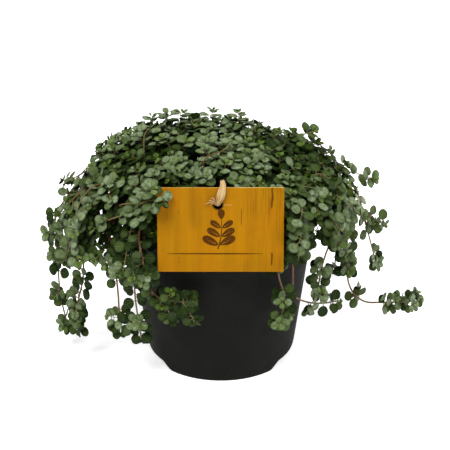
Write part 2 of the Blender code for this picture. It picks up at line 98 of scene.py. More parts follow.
# Heights of the rings in the pot's outer wall, in millimetres, closer together above its foot.
WALL_LEVELS = (84, 70, 56, 42, 28, 16, 11, 8, 6, 4.5, 3.2, 2.2)
PAD_RADIUS = 22 * MM
FOOT_WIDTH = 2.6 * MM
CHANNEL_HEIGHT = 4.5 * MM
DRAIN_HOLES = 6
DRAIN_HOLE_RADIUS = 3.5 * MM
DRAIN_CIRCLE_RADIUS = 33 * MM
NOTCH_AZIMUTHS = (-23, 90, 203)
NOTCH_WIDTH = 40 * MM
NOTCH_HEIGHT = 4.3 * MM
NOTCH_FLAT = 0.53
NOTCH_BLEND = 9 * MM
GAP = 0.3 * MM

# Potting soil
SOIL_CROWN = 2 * MM
SOIL_TOP = SOIL_HIGH.z - SOIL_CROWN
SOIL_RINGS = 26

# Tag and raffia loop
TAG_WIDTH = TAG_HIGH.x - TAG_LOW.x
TAG_HEIGHT = 51.4 * MM
TAG_THICKNESS = 1.4 * MM
TAG_TILT = math.radians(10)
TAG_BELOW_RIM = 14.2 * MM
TAG_HOLE_RADIUS = 2.75 * MM
TAG_HOLE_BELOW_TOP = 10.4 * MM
TAG_HOLE_X = -1.5 * MM
TAG_HOLE_Z = TAG_HEIGHT / 2 - TAG_HOLE_BELOW_TOP
SPRIG_FOOT = Vector((-1.6 * MM, -11.6 * MM))
SPRIG_TOP = Vector((0.4 * MM, 6.8 * MM))
RULE_HEIGHT = -14.5 * MM
TIE_RADIUS = 0.9 * MM
TIE_STATIONS = 91
TIE_CLEAR = 1.6 * MM
RAFFIA_NARROW = 2.2 * MM
RAFFIA_AT_HOLE = 2.6 * MM
TIED_STEM_PLACE = Vector((0, -29 * MM, 0))

# Mound of foliage
DOME_BASE = 86 * MM
DOME_RISE = 63 * MM
DOME_RADIUS = 94 * MM
DOME_LEAN = 8 * MM
DOME_SHOULDER = 0.6
MOUND_TOP = DOME_BASE + DOME_RISE - 2.5 * MM
CROWN_SHOOTS = 18
CROWN_TIP_RADIUS = 60 * MM
CROWN_FIRST_AZIMUTH = 210
ROOT_RISE = 5 * MM
ARCHING_SHOOTS = 14
ARCHING_PHASE = 0.62
ARCHING_FRONT_REACH = 52 * MM
GOLDEN_ANGLE = math.pi * (3 - math.sqrt(5))
FRONT = -90
TAG_SECTOR = 44
FRONT_LIMIT = 66 * MM
FRONT_CORNER_LIMIT = 44 * MM

# How far leaves may reach: to the front, to the top, and less high past the left edge.
FRONT_MOST = -72.5 * MM
TOP_MOST = 150.9 * MM
LEFT_EDGE = -86 * MM
LEFT_TOP = 108 * MM
# The mound's skin ends at a left shoulder, and low at the right its front is left open.
SHOULDER_X = -79 * MM
SHOULDER_Z = 111 * MM
OPEN_FRONT_X = 45 * MM
OPEN_FRONT_Y = 30 * MM
OPEN_FRONT_Z = DOME_BASE + 5 * MM

# Stems: the distance between their points, and their radii
STEM_STEP = 2.2 * MM
CROWN_TIP = 0.3 * MM
ARCHING_TIP = 0.28 * MM
RUNNER_GIRTH = 1.3
RUNNER_TIP = 0.52 * MM
TIP_AGE = 0.05
# A side shoot's least and greatest length, and what turning back along its stem costs it
SIDE_SHOOT_LEAST = 5 * MM
SIDE_SHOOT_MOST = 48 * MM
TURNING_COST = 16 * MM
SERVED_BY_TIP = 6.5 * MM
# The inner layers of side shoots: their share of the inner shoots, depth under the mound's
# skin, and how far down they go, 90 degrees being the widest ring
INNER_LAYERS = ((1, 12 * MM, 92), (2, 24 * MM, 90), (3, 8 * MM, 60))

# Leaves: parts of a leaf one unit wide, and the cup, fold and wave of each of their shapes
LEAF_STALK = 0.26
LEAF_START = 0.8 * LEAF_STALK
LEAF_CENTRE = LEAF_START + 0.5
LEAF_SHAPES = ((0.10, 0.0, 0.015), (0.02, 0.07, 0.03), (-0.09, 0.02, 0.02), (0.05, -0.05, 0.03))
LEAF_BATCH = 60
# Pairs by their order from a shoot's tip, and how deep a leaf may cut into another
YOUNG_PAIRS = 4
OLDEST_PAIR = 26
PAIR_LEANS = (1.3, 0.55, 0.28, 0.2, 0.15)
PAIR_SPACING = 4.9 * MM
TRIES = 6
LEAF_CLEARANCE = 0.7 * MM
LEAST_CUT = 1.2 * MM
FORCED_CUT = 3.0 * MM
LAYER_GAP = 0.55 * MM
# Painted shade: the drop in tint of a runner's leaves below the mound, and for each leaf over
# another.
HANGING_SHADE = 0.70
COVER_SHADE = 0.24

# Trailing runners. Each route lists azimuth in degrees, radius and height in millimetres,
# from the pot's rim outwards; the first number of a row is the azimuth where it is rooted.
TRAILING_ROUTES = (
    (178, ((179, 62, 112), (180, 86, 107), (180, 97, 92), (181, 102, 62), (181, 102, 38),
           (181, 98, 14))),
    (192, ((191, 62, 110), (191, 80, 104), (193, 86, 82), (193, 88, 58), (192, 92, 38),
           (192, 92, 20))),
    (166, ((167, 62, 112), (168, 88, 107), (169, 102, 92), (170, 108, 76), (170, 107, 64))),
    (153, ((153, 62, 110), (154, 86, 103), (160, 94, 84), (165, 95, 62), (165, 96, 46))),
    (205, ((205, 61, 109), (207, 75, 101), (213, 77, 86), (216, 77, 60), (216, 77, 34))),
    (216, ((216, 61, 108), (220, 71, 99), (224, 72, 84), (224, 72, 62), (226, 70, 33))),
    (226, ((225, 60, 108), (226, 67, 94), (230, 68, 74), (237, 69, 66), (246, 67, 65),
           (256, 66, 66))),
    (236, ((231, 61, 112), (229, 73, 109), (233, 77, 94), (236, 76, 78))),
    (-51, ((-51, 61, 113), (-49, 73, 110), (-52, 76, 101), (-53, 76, 92))),
    (-62, ((-57, 61, 107), (-58, 64, 94), (-57, 64, 78), (-55, 67, 63), (-57, 65, 44))),
    (-41, ((-45, 61, 107), (-48, 65, 93), (-48, 65, 74), (-46, 64, 61), (-36, 65, 52),
           (-26, 70, 47), (-18, 77, 45))),
    (-22, ((-21, 61, 109), (-19, 75, 101), (-23, 73, 90), (-25, 69, 74), (-26, 67, 59))),
    (-8, ((-7, 62, 112), (-5, 78, 104), (-4, 79, 72), (-2, 81, 46), (-2, 90, 34),
          (-1, 104, 32), (-1, 126, 33))),
    (4, ((5, 62, 112), (6, 84, 105), (3, 91, 84), (3, 96, 66), (3, 99, 55))),
    (17, ((18, 62, 110), (18, 78, 102), (15, 80, 80), (14, 81, 60), (14, 83, 44))),
    (34, ((34, 62, 110), (36, 90, 104), (38, 98, 70), (37, 95, 24))),
    (54, ((54, 62, 110), (56, 84, 102), (57, 88, 55))),
    (74, ((74, 62, 111), (75, 91, 104), (75, 100, 66), (77, 97, 16))),
    (95, ((95, 62, 110), (95, 86, 101), (94, 92, 48))),
    (114, ((114, 62, 111), (113, 92, 103), (111, 102, 64), (112, 100, 22))),
    (134, ((134, 62, 110), (134, 86, 100), (135, 90, 40))),
)
# Stretches where a runner has dropped its leaves: distances from its tip, in millimetres.
BARE_STRETCHES = {
    1: ((10, 17), (31, 40), (54, 63)), 2: ((25, 31), (46, 56)), 3: ((20, 34),), 4: (),
    5: ((20, 36),), 6: ((20, 26),), 7: ((25, 33),), 8: (), 9: (), 10: ((28, 38),),
    11: ((25, 67),), 12: ((14, 22), (32, 37)), 13: ((26, 39), (51, 56)), 14: ((11, 24), (39, 44)),
    15: ((12, 42),), 16: ((6, 62),),
}
# The share of their side twigs that the sparsest runners lack, one of them in its upper part.
MOST_MISSING = 0.7
MISSING_TWIGS = {7: 0.45, 11: MOST_MISSING, 12: MOST_MISSING, 15: MOST_MISSING}
THIN_TOP_ROW, THIN_TOP_Z = 13, 60 * MM
# Painted light and shade on the leaves: places where their tint, and with it their bloom,
# is raised as painted light or lowered as painted shade; a place and how far that reaches,
# in millimetres, and the change in tint at its middle.
PAINTED_LIGHT_AND_SHADE = (
    ((50, 12, 134), 40, -0.85), ((60, -12, 114), 46, -0.15), ((-52, -16, 129), 28, -0.90),
    ((-60, -44, 108), 32, 1.0), ((-26, -61, 60), 26, -1.0), ((-12, -6, 146), 62, 0.45),
    ((104, -2, 36), 30, 0.5), ((46, -44, 108), 26, -0.35), ((-104, 0, 66), 50, -0.4),
)
# Twigs that leave the mound: points in millimetres, the first of them near a main stem.
GIVEN_TWIGS = (
    ((60, 18, 108), (74, 19, 113), (86, 18, 113), (96, 14, 111)),
    ((78, 4, 96), (88, 4, 93), (95, 2, 90), (102, 2, 85)),
    ((40, 22, 128), (47, 22, 136), (53, 21, 139), (58, 21, 140)),
    ((50, 16, 120), (60, 18, 126), (69, 20, 127)),
    ((60, 12, 112), (70, 14, 119), (78, 16, 120)),
    ((66, 6, 98), (76, 8, 105), (84, 9, 106)),
    ((68, 4, 92), (78, 8, 98), (84, 8, 98)),
    ((44, 20, 124), (46, 21, 134), (45, 21, 140)),
    ((52, 18, 120), (56, 20, 130), (60, 20, 134)),
    ((-8, 30, 130), (-7, 33, 140), (-5, 35, 149)),
    ((8, 28, 130), (10, 31, 140), (11, 33, 148)),
    ((-38, 24, 126), (-42, 27, 138), (-43, 29, 147)),
    ((-28, 28, 130), (-33, 30, 140), (-34, 31, 149)),
    ((-22, 28, 130), (-26, 31, 140), (-25, 32, 149)),
    ((-52, 14, 118), (-58, 15, 128), (-61, 16, 137)),
    ((-50, 6, 120), (-54, 5, 131), (-56, 4, 140)),
    ((-42, 6, 124), (-47, 5, 135), (-49, 4, 144)),
    ((-44, 20, 122), (-49, 22, 134), (-51, 24, 143)),
    ((-40, -40, 118), (-43, -50, 130), (-42, -56, 136), (-39, -58, 138)),
    ((-48, -44, 112), (-49, -54, 124), (-42, -60, 131), (-32, -61, 131)),
    ((-48, -44, 112), (-50, -54, 119), (-48, -60, 121), (-43, -62, 120)),
    ((46, -44, 108), (48, -56, 112), (47, -63, 108), (44, -65, 102)),
    ((46, -40, 116), (48, -52, 122), (47, -58, 118), (44, -61, 113)),
    ((-36, -56, 70), (-33, -60, 62), (-31, -61, 56), (-30, -61, 52)),
    ((-22, -63, 66), (-19, -65, 60), (-17, -65, 56), (-16, -65, 53)),
    ((-36, -56, 70), (-40, -56, 68), (-43, -54, 65)),
)
# Twigs whose stems lie open on the mound, with leaves at their tips only.
OPEN_TWIGS = (
    ((-18, -32, 134), (-9, -31, 145), (0, -26, 147), (4, -20, 148), (6, -13, 148)),
    ((-48, -8, 134), (-47, 1, 143), (-46, 6, 146), (-43, 14, 146)),
    ((-64, -30, 124), (-76, -36, 129), (-82, -38, 123), (-85, -40, 117), (-87, -42, 109)),
    ((-56, -40, 118), (-60, -46, 121), (-53, -47, 123), (-45, -48, 124)),
    ((-62, -38, 106), (-67, -45, 111), (-63, -46, 113), (-57, -46, 115)),
    ((44, -40, 110), (49, -50, 109), (50, -52, 104), (51, -52, 97)),
)
# The runners by the side of the pot that they hang on, as first and last row.
RUNNER_GROUPS = {"left": (1, 8), "front": (9, 13), "back": (14, 21)}

# The points that the camera and each kind of light look at
CAMERA_AIM = Vector((2.6 * MM, 33.8 * MM, 69.4 * MM))
LIGHT_AIM = {"SUN": Vector((0, 0, 0)), "AREA": Vector((0, 0, 60 * MM))}


# ------------ settings


def length(name, description, default):
    return bpy.props.FloatProperty(name=name, description=description, default=default,
                                   min=0, unit="LENGTH", precision=4)


def colour(name, description, default):
    return bpy.props.FloatVectorProperty(name=name, description=description, default=default,
                                         size=3, min=0, max=1, subtype="COLOR")


class PileaPotSettings(bpy.types.PropertyGroup):
    height: length("Height", "Height of the pot", POT_HEIGHT)
    rim_radius: length("Rim radius", "Outer radius of the rolled rim", POT_RIM_RADIUS)
    wall: length("Wall", "Thickness of the moulded wall", POT_WALL)
    plastic: colour("Plastic", "Colour of the moulded plastic", (0.0060, 0.0062, 0.0046))
    scuffed: colour("Scuffs", "Colour of rubbed and dusty plastic", (0.022, 0.022, 0.019))


class PileaSoilSettings(bpy.types.PropertyGroup):
    crumbs: bpy.props.IntProperty(name="Crumbs", description="Loose lumps on the surface",
                                  default=260, min=0, max=600)
    crumb_size: length("Crumb size", "Length of the largest crumb", 3.2 * MM)
    peat: colour("Peat", "Colour of damp peat", (0.020, 0.013, 0.009))
    dry_peat: colour("Dry peat", "Colour of dry peat", (0.075, 0.047, 0.030))
    grit: colour("Grit", "Colour of the pale mineral grains", (0.52, 0.50, 0.46))


class PileaTagSettings(bpy.types.PropertyGroup):
    wood: colour("Wood", "Colour of the stained board", (0.392, 0.176, 0.002))
    dark_wood: colour("Dark grain", "Colour of the grain lines", (0.215, 0.085, 0.002))
    cut_wood: colour("Cut edge", "Colour of the board's cut edges", (0.74, 0.47, 0.16))
    print: colour("Print", "Colour of the burnt-in print", (0.075, 0.024, 0.002))
    print_depth: length("Print height", "How far the print stands on the board", 0.05 * MM)
    raffia: colour("Raffia", "Colour of the dry fibre", (0.58, 0.36, 0.12))
    raffia_width: length("Raffia width", "Width of the flat band over the tag", 5.2 * MM)


class PileaFoliageSettings(bpy.types.PropertyGroup):
    seed: bpy.props.IntProperty(name="Seed", description="Picks one arrangement", default=7)
    leaf_diameter: length("Leaf", "Width of a full-grown leaf", 7.3 * MM)
    rosettes: bpy.props.IntProperty(name="Rosettes", description="Side shoots over the mound",
                                    default=360, min=50, max=800)
    inner_shoots: bpy.props.IntProperty(name="Inner shoots", default=250, min=0, max=800,
                                        description="Older side shoots under the mound's skin")
    stem_radius: length("Stem radius", "Radius of a main stem at its root", 0.55 * MM)
    mature: colour("Mature leaf", "Upper face of a full-grown leaf", (0.086, 0.130, 0.024))
    # Shaded leaf: the colour that leaves take as painted shade when their tint drops.
    dark: colour("Shaded leaf", "Upper face of an old leaf", (0.008, 0.020, 0.001))
    # Bloom: real silvery bloom, mixed in more where the tint is high, as painted sheen.
    bloom: colour("Bloom", "Silvery bloom on the upper face", (0.350, 0.412, 0.310))
    young: colour("Young leaf", "Upper face of the leaves at a tip", (0.120, 0.195, 0.025))
    underside: colour("Underside", "Lower face of a leaf", (0.055, 0.085, 0.010))
    green_stem: colour("Young stem", "Stem near its tip", (0.13, 0.13, 0.030))
    red_stem: colour("Old stem", "Stem near its root", (0.140, 0.030, 0.012))


class PileaStageSettings(bpy.types.PropertyGroup):
    view_distance: length("Distance", "From the camera to the point it looks at", 1.15)
    view_height: bpy.props.FloatProperty(name="View angle", subtype="ANGLE", unit="ROTATION",
                                         description="How far the camera looks down",
                                         default=math.radians(25.96))
    lens: bpy.props.FloatProperty(name="Lens", description="Focal length in millimetres",
                                  default=142.5, min=20, max=300)
    floor: colour("Floor", "Colour of the floor", (0.90, 0.90, 0.90))
    room_light: bpy.props.FloatProperty(name="Room light", default=0.25, min=0,
                                        description="Strength of the even light all round")
    key_light: bpy.props.FloatProperty(name="Key light", default=3.0, min=0,
                                       description="Strength of the soft light from above")


# ------------ node helpers


class Graph:
    """Short calls that add and link the nodes of one node tree."""

    def __init__(self, tree):
        self.tree = tree

    def node(self, kind, inputs=None, **settings):
        made = self.tree.nodes.new(kind)
        for name, value in settings.items():
            setattr(made, name, value)
        for socket, value in (inputs or {}).items():
            self.feed(made.inputs[socket], value)
        return made

    def feed(self, socket, value):
        """Link a socket to another, or set its value; a colour is given without its alpha."""
        if isinstance(value, bpy.types.NodeSocket):
            self.tree.links.new(value, socket)
        elif value is not None:
            socket.default_value = (*value, 1.0) if socket.type == "RGBA" else value

    def math(self, operation, first, second=None, clamp=False):
        return self.node("ShaderNodeMath", {0: first, 1: second}, operation=operation,
                         use_clamp=clamp).outputs[0]

    def times(self, first, *others):
        for other in others:
            first = self.math("MULTIPLY", first, other)
        return first

    def plus(self, first, second, clamp=False):
        return self.math("ADD", first, second, clamp)

    def minus(self, first, second):
        return self.math("SUBTRACT", first, second)

    def size_of(self, value):
        return self.math("ABSOLUTE", value)

    def vector(self, operation, first, second):
        """A vector worked out from two vectors."""
        return self.node("ShaderNodeVectorMath", {0: first, 1: second},
                         operation=operation).outputs["Vector"]

    def measure(self, operation, first, second=None):
        """A number worked out from one or two vectors."""
        return self.node("ShaderNodeVectorMath", {0: first, 1: second},
                         operation=operation).outputs["Value"]

    def split(self, vector):
        return self.node("ShaderNodeSeparateXYZ", {0: vector}).outputs

    def join(self, x, y, z):
        return self.node("ShaderNodeCombineXYZ", {0: x, 1: y, 2: z}).outputs[0]

    def between(self, value, low, high, to_low=0.0, to_high=1.0):
        """The value's place between low and high, eased, as a number from to_low to to_high."""
        return self.node("ShaderNodeMapRange", {0: value, 1: low, 2: high, 3: to_low, 4: to_high},
                         interpolation_type="SMOOTHSTEP").outputs[0]

    def spread(self, share, low, high):
        """A share from 0 to 1 as a number from low to high."""
        return self.node("ShaderNodeMapRange", {0: share, 1: 0, 2: 1, 3: low, 4: high},
                         interpolation_type="LINEAR").outputs[0]

    def mix(self, share, first, second):
        return self.node("ShaderNodeMix", {0: share, 6: first, 7: second},
                         data_type="RGBA").outputs[2]

    def noise(self, vector, scale, detail, roughness=0.5):
        return self.node("ShaderNodeTexNoise", {"Vector": vector, "Scale": scale,
                         "Detail": detail, "Roughness": roughness}).outputs[0]

    def group(self, name, **inputs):
        """The outputs of one of the shared node groups."""
        return self.node("ShaderNodeGroup", inputs, node_tree=bpy.data.node_groups[name]).outputs

    def map_of(self, name):
        return self.node("ShaderNodeUVMap", uv_map=name).outputs[0]

    def attribute(self, name):
        return self.node("ShaderNodeAttribute", attribute_name=name).outputs["Fac"]

    def normal(self):
        return self.node("ShaderNodeNewGeometry").outputs["Normal"]

    def seen_directly(self):
        return self.node("ShaderNodeLightPath").outputs["Is Camera Ray"]


def new_group(name, inputs, outputs):
    """An empty shader node group: its graph, and the sockets inside it by their names."""
    tree = bpy.data.node_groups.new(name, "ShaderNodeTree")
    for socket, kind in inputs:
        tree.interface.new_socket(socket, in_out="INPUT", socket_type="NodeSocket" + kind)
    for socket in outputs:
        tree.interface.new_socket(socket, in_out="OUTPUT", socket_type="NodeSocketFloat")
    graph = Graph(tree)
    return graph, graph.node("NodeGroupInput").outputs, graph.node("NodeGroupOutput").inputs


def mottle_group():
    """Soft uneven patches with finer specks on them; both masks run from 0 to 1."""
    graph, given, made = new_group(
        "mottle", [("Vector", "Vector"), ("Scale", "Float")], ["Patches", "Specks"])
    patches = graph.noise(given["Vector"], given["Scale"], 4.0, 0.6)
    specks = graph.noise(given["Vector"], graph.times(given["Scale"], 5.5), 2.0)
    graph.feed(made["Patches"], graph.between(patches, 0.32, 0.68))
    graph.feed(made["Specks"], graph.between(specks, 0.50, 0.72))


def fibre_group():
    """Long thin streaks along Z; Width and Length are how often they repeat per metre."""
    graph, given, made = new_group(
        "fibre", [("Vector", "Vector"), ("Width", "Float"), ("Length", "Float")],
        ["Streaks", "Hairlines"])
    scale = graph.join(given["Width"], given["Width"], given["Length"])
    along = graph.vector("MULTIPLY", given["Vector"], scale)
    graph.feed(made["Streaks"], graph.between(graph.noise(along, 1.0, 3.0, 0.55), 0.34, 0.66))
    graph.feed(made["Hairlines"], graph.between(graph.noise(along, 3.7, 2.0), 0.52, 0.70))


def dust_group():
    """Where dust lies: on what faces up, in uneven patches."""
    graph, given, made = new_group(
        "dust", [("Vector", "Vector"), ("Scale", "Float")], ["Mask"])
    facing_up = graph.between(graph.split(graph.normal())[2], 0.1, 0.9)
    patches = graph.between(graph.noise(given["Vector"], given["Scale"], 4.0, 0.6), 0.4, 0.7)
    graph.feed(made["Mask"], graph.times(facing_up, patches))


def blade_group():
    """Marks on a leaf from its own map: three veins that run from the stalk, and the margin, which
    the leaf's look darkens as painted shade.
    """
    graph, given, made = new_group("blade", [("Map", "Vector")], ["Veins", "Margin"])
    place = graph.split(given["Map"])
    across = graph.size_of(graph.minus(place[0], 0.5))
    midrib = graph.between(across, 0.012, 0.034, 1.0, 0.0)
    arc = graph.math("SINE", graph.times(place[1], math.pi))
    side = graph.size_of(graph.minus(across, graph.times(arc, 0.25)))
    side_veins = graph.between(side, 0.008, 0.028, 0.6, 0.0)
    veins = graph.math("MAXIMUM", midrib, side_veins)
    fade = graph.between(place[1], 0.70, 0.98, 1.0, 0.0)
    graph.feed(made["Veins"], graph.times(veins, fade))
    radius = graph.measure("LENGTH", graph.vector("SUBTRACT", given["Map"], (0.5, 0.5, 0.0)))
    graph.feed(made["Margin"], graph.between(radius, 0.30, 0.50))


# ------------ materials


class Look(Graph):
    """The graph of a new material, with places on its object and its shader's inputs."""

    def __init__(self, name, roughness, specular):
        self.made = bpy.data.materials.new(name)
        self.made.use_nodes = True
        super().__init__(self.made.node_tree)
        self.place = self.node("ShaderNodeTexCoord").outputs["Object"]
        self.shader = self.tree.nodes["Principled BSDF"].inputs
        self.shader["Roughness"].default_value = roughness
        self.shader["Specular IOR Level"].default_value = specular

    def mottle(self, scale):
        return self.group("mottle", Vector=self.place, Scale=scale)

    def finished(self, colour, roughness, relief, strength, depth):
        """The material with its colour, its roughness, None where that is even, and its relief,
        whose depth is in millimetres."""
        bump = self.node("ShaderNodeBump", {"Height": relief, "Strength": strength,
                         "Distance": depth * MM})
        self.feed(self.shader["Base Color"], colour)
        self.feed(self.shader["Roughness"], roughness)
        self.feed(self.shader["Normal"], bump.outputs[0])
        return self.made


def pot_material(settings):
    """Dark moulded plastic: satin, faintly mottled, rubbed near the foot and dusty on top."""
    look = Look("pot_plastic", 0.6, 0.07)
    mottle = look.mottle(70.0)
    low = look.between(look.split(look.place)[2], 0.0, 16 * MM, 1.0, 0.0)
    scratches = look.group("fibre", Vector=look.place, Width=160.0, Length=2200.0)["Hairlines"]
    dust = look.group("dust", Vector=look.place, Scale=240.0)["Mask"]
    worn = look.plus(look.times(scratches, low, 0.55), look.times(mottle["Specks"], 0.10))
    worn = look.plus(worn, look.times(dust, 0.35), clamp=True)
    return look.finished(look.mix(worn, settings.plastic, settings.scuffed),
                         look.spread(mottle["Patches"], 0.54, 0.64),
                         look.noise(look.place, 2600.0, 2.0), 0.10, 0.05)


def soil_material(settings):
    """Peat: dark and crumbly, paler where it has dried, with fibres and a few pale grains."""
    look = Look("potting_soil", 0.95, 0.2)
    mottle = look.mottle(260.0)
    fibre = look.group("fibre", Vector=look.place, Width=900.0, Length=240.0)["Hairlines"]
    peat = look.mix(look.times(mottle["Patches"], 0.8), settings.peat, settings.dry_peat)
    peat = look.mix(look.times(fibre, 0.5), peat, settings.dry_peat)
    return look.finished(look.mix(look.attribute("pale"), peat, settings.grit),
                         look.spread(mottle["Patches"], 0.82, 1.0),
                         look.noise(look.place, 1500.0, 5.0, 0.65), 0.9, 0.4)


class WoodLook(Look):
    """The board's look, with the board's own coordinates. Marks on its face are given by their
    place from its middle in millimetres: low, high and how softly they end."""

    def __init__(self, settings):
        super().__init__("tag_wood", 0.6, 0.04)
        self.colours = settings
        self.board = self.node("ShaderNodeMapping", {"Vector": self.place,
                               "Location": tag_frame().translation,
                               "Rotation": (-TAG_TILT, 0, 0)}, vector_type="TEXTURE").outputs[0]
        self.across, _, self.along = self.split(self.board)

    def stretch(self, value, low, high, soft):
        """1 where the value lies from low to high."""
        enters = self.between(value, (low - soft) * MM, (low + soft) * MM)
        leaves = self.between(value, (high - soft) * MM, (high + soft) * MM, 1.0, 0.0)
        return self.times(enters, leaves)

    def mark(self, tone, x, z, share, colour):
        """Mix in a colour where x and z overlap."""
        area = self.times(self.stretch(self.across, *x), self.stretch(self.along, *z), share)
        return self.mix(area, tone, colour)

    def stained(self, hairlines):
        """The stain, darker in the grain and warmer in patches and towards the upper left; its
        lower part is darker as painted shade.
        """
        wide = self.group("fibre", Vector=self.board, Width=130.0, Length=9.0)["Streaks"]
        right_half = self.between(self.across, 2 * MM, 24 * MM, 0.25, 1.0)
        upper_half = self.between(self.along, -20 * MM, 20 * MM, 0.5, 1.0)
        shade = self.plus(self.times(hairlines, right_half, upper_half),
                          self.times(self.minus(1.0, wide), 0.40), clamp=True)
        tone = self.mix(shade, self.colours.wood, self.colours.dark_wood)
        warm = self.mix(0.5, self.colours.wood, (0.50, 0.155, 0.003))
        patches = self.group("mottle", Vector=self.board, Scale=60.0)["Patches"]
        tone = self.mix(self.times(patches, 0.5), tone, warm)
        tone = self.mark(tone, (-38, -24, 5), (12, 30, 6), 0.5, warm)
        # Painted shade: the board's lower part is a little darker.
        return self.mark(tone, (-40, 40, 1), (-30, -17, 5), 0.18, self.colours.dark_wood)

    def spotted(self, tone):
        """A soft dark band, a short line and a few spots in the wood."""
        burnt = self.colours.print
        tone = self.mark(tone, (-19, -14, 2.5), (4, 30, 6), 0.45, self.colours.dark_wood)
        tone = self.mark(tone, (12.0, 12.4, 0.2), (3, 13, 1), 0.85, burnt)
        for x, z in ((-24.7, 10.9), (-24.7, -17.0), (-24.7, -19.6)):
            tone = self.mark(tone, (x - 0.3, x + 0.3, 0.25), (z - 0.35, z + 0.35, 0.3), 0.8, burnt)
        return tone

    def resin(self):
        """Where a wavy line of resin shows at the right end, above and below the middle."""
        sway = self.times(self.minus(self.noise(self.board, 90.0, 2.0), 0.5), 2.5 * MM)
        offset = self.size_of(self.minus(self.minus(self.across, 30.4 * MM), sway))
        narrow = self.between(offset, 0.2 * MM, 0.8 * MM, 1.0, 0.0)
        ends = self.plus(self.stretch(self.along, 13.5, 30, 1),
                         self.stretch(self.along, -21.6, -14, 0.8))
        return self.times(narrow, ends, 0.85)

    def cut_edges(self, tone):
        """Paler wood in thin layers where a surface doesn't face as the board does."""
        facing = self.measure("DOT_PRODUCT", self.normal(), tag_frame().col[1].to_3d())
        cut = self.between(self.size_of(facing), 0.55, 0.8, 1.0, 0.0)
        layers = self.noise(self.vector("MULTIPLY", self.board, (60.0, 3200.0, 60.0)), 1.0, 1.0)
        edge = self.mix(self.between(layers, 0.4, 0.6), self.colours.cut_wood, self.colours.wood)
        return self.mix(cut, tone, edge)

    def hole_marks(self, tone):
        """The short slits on both sides of the hole, and the scorched ring round it."""
        x, z = TAG_HOLE_X / MM, TAG_HOLE_Z / MM
        level = (z - 0.12, z + 0.12, 0.1)
        tone = self.mark(tone, (x + 2.6, x + 8, 0.6), level, 0.7, self.colours.cut_wood)
        tone = self.mark(tone, (x - 8.5, x - 2.6, 0.6), level, 0.6, self.colours.print)
        flat = self.join(self.across, 0.0, self.along)
        from_hole = self.measure("DISTANCE", flat, (TAG_HOLE_X, 0, TAG_HOLE_Z))
        scorch = self.between(from_hole, TAG_HOLE_RADIUS + 0.1 * MM,
                              TAG_HOLE_RADIUS + 0.9 * MM, 0.9, 0.0)
        return self.mix(scorch, tone, self.colours.print)


def wood_material(settings):
    """Thin amber-stained board: straight upright grain, dark resin streaks, pale cut edges."""
    look = WoodLook(settings)
    grain = look.group("fibre", Vector=look.board, Width=460.0, Length=10.0)
    resin = look.resin()
    tone = look.mix(resin, look.spotted(look.stained(grain["Hairlines"])), settings.print)
    relief = look.times(look.plus(grain["Hairlines"], look.times(resin, 2.0)), -1.0)
    return look.finished(look.hole_marks(look.cut_edges(tone)),
                         look.spread(grain["Streaks"], 0.42, 0.62), relief, 0.35, 0.08)


def print_material(settings):
    """Burnt-in print: dark brown, thinner where the wood's grain took less."""
    look = Look("tag_print", 0.7, 0.05)
    grain = look.group("fibre", Vector=look.place, Width=900.0, Length=60.0)
    thin = look.times(grain["Hairlines"], 0.55)
    return look.finished(look.mix(thin, settings.print, settings.dark_wood), None,
                         grain["Streaks"], 0.2, 0.03)


def raffia_material(settings):
    """Dry palm fibre: pale straw with long fine hairs, browner in the folds, and paler towards the
    top of the loop as painted light.
    """
    look = Look("raffia", 0.7, 0.3)
    look.shader["Sheen Weight"].default_value = 0.15
    brown, pale = (0.36, 0.19, 0.065), (0.76, 0.58, 0.30)
    turned = look.split(look.map_of("fibre"))
    fibre = look.group("fibre", Vector=look.join(turned[0], 0.0, turned[1]), Width=26.0,
                       Length=60.0)
    tone = look.mix(look.times(fibre["Streaks"], 0.75), brown, settings.raffia)
    tone = look.mix(look.times(fibre["Hairlines"], 0.7), tone, pale)
    tone = look.mix(look.times(look.mottle(420.0)["Patches"], 0.25), tone, brown)
    # Painted light: the top of the loop is paler.
    painted_top_light = look.between(look.split(look.place)[2], 126 * MM, 137 * MM, 0.0, 0.6)
    return look.finished(look.mix(painted_top_light, tone, pale), None, fibre["Streaks"], 0.6, 0.12)


def bloom_and_sheen_tone(look, tint, mottle, settings):
    """A grown leaf's upper face: darker as its tint drops, as painted shade, and silvery where its
    tint is high, in patches and specks, as real bloom and painted sheen.
    """
    tone = look.mix(tint, settings.dark, settings.mature)
    silver_and_sheen = look.times(look.between(tint, 0.35, 1.0), mottle["Patches"], 0.58)
    # Specks of bloom, stronger as the tint rises: real bloom with painted sheen.
    dust = look.times(mottle["Specks"], look.between(tint, 0, 0.6, 0.02, 0.16))
    return look.mix(dust, look.mix(silver_and_sheen, tone, settings.bloom), settings.bloom)


def leaf_material(settings, upper):
    """Leaf face: grey-green under a silvery bloom, yellow-green when young, with three veins; its
    tint and margin carry painted shade, and on the upper face its bloom also painted sheen.
    """
    look = Look("leaf_upper", 0.5, 0.11) if upper else Look("leaf_underside", 0.65, 0.06)
    blade = look.group("blade", Map=look.map_of("blade"))
    mottle = look.mottle(520.0)
    tint = look.attribute("tint")
    if upper:
        tone = bloom_and_sheen_tone(look, tint, mottle, settings)
    else:
        # Painted shade: the underside darkens as the tint drops.
        tone = look.mix(look.between(tint, 0, 1, 0.25, 0.9), settings.dark, settings.underside)
    tone = look.mix(look.attribute("young"), tone, settings.young)
    tone = look.mix(look.times(blade["Veins"], 0.30), tone,
                    settings.young if upper else settings.bloom)
    # Painted shade: darker towards the margin, where the leaf curves away.
    tone = look.mix(look.times(blade["Margin"], 0.42), tone, settings.dark)
    relief = look.minus(look.times(mottle["Patches"], 0.35),
                        look.times(blade["Veins"], 1.0 if upper else -1.0))
    return look.finished(tone, look.spread(mottle["Patches"], 0.44, 0.60), relief, 0.45, 0.12)


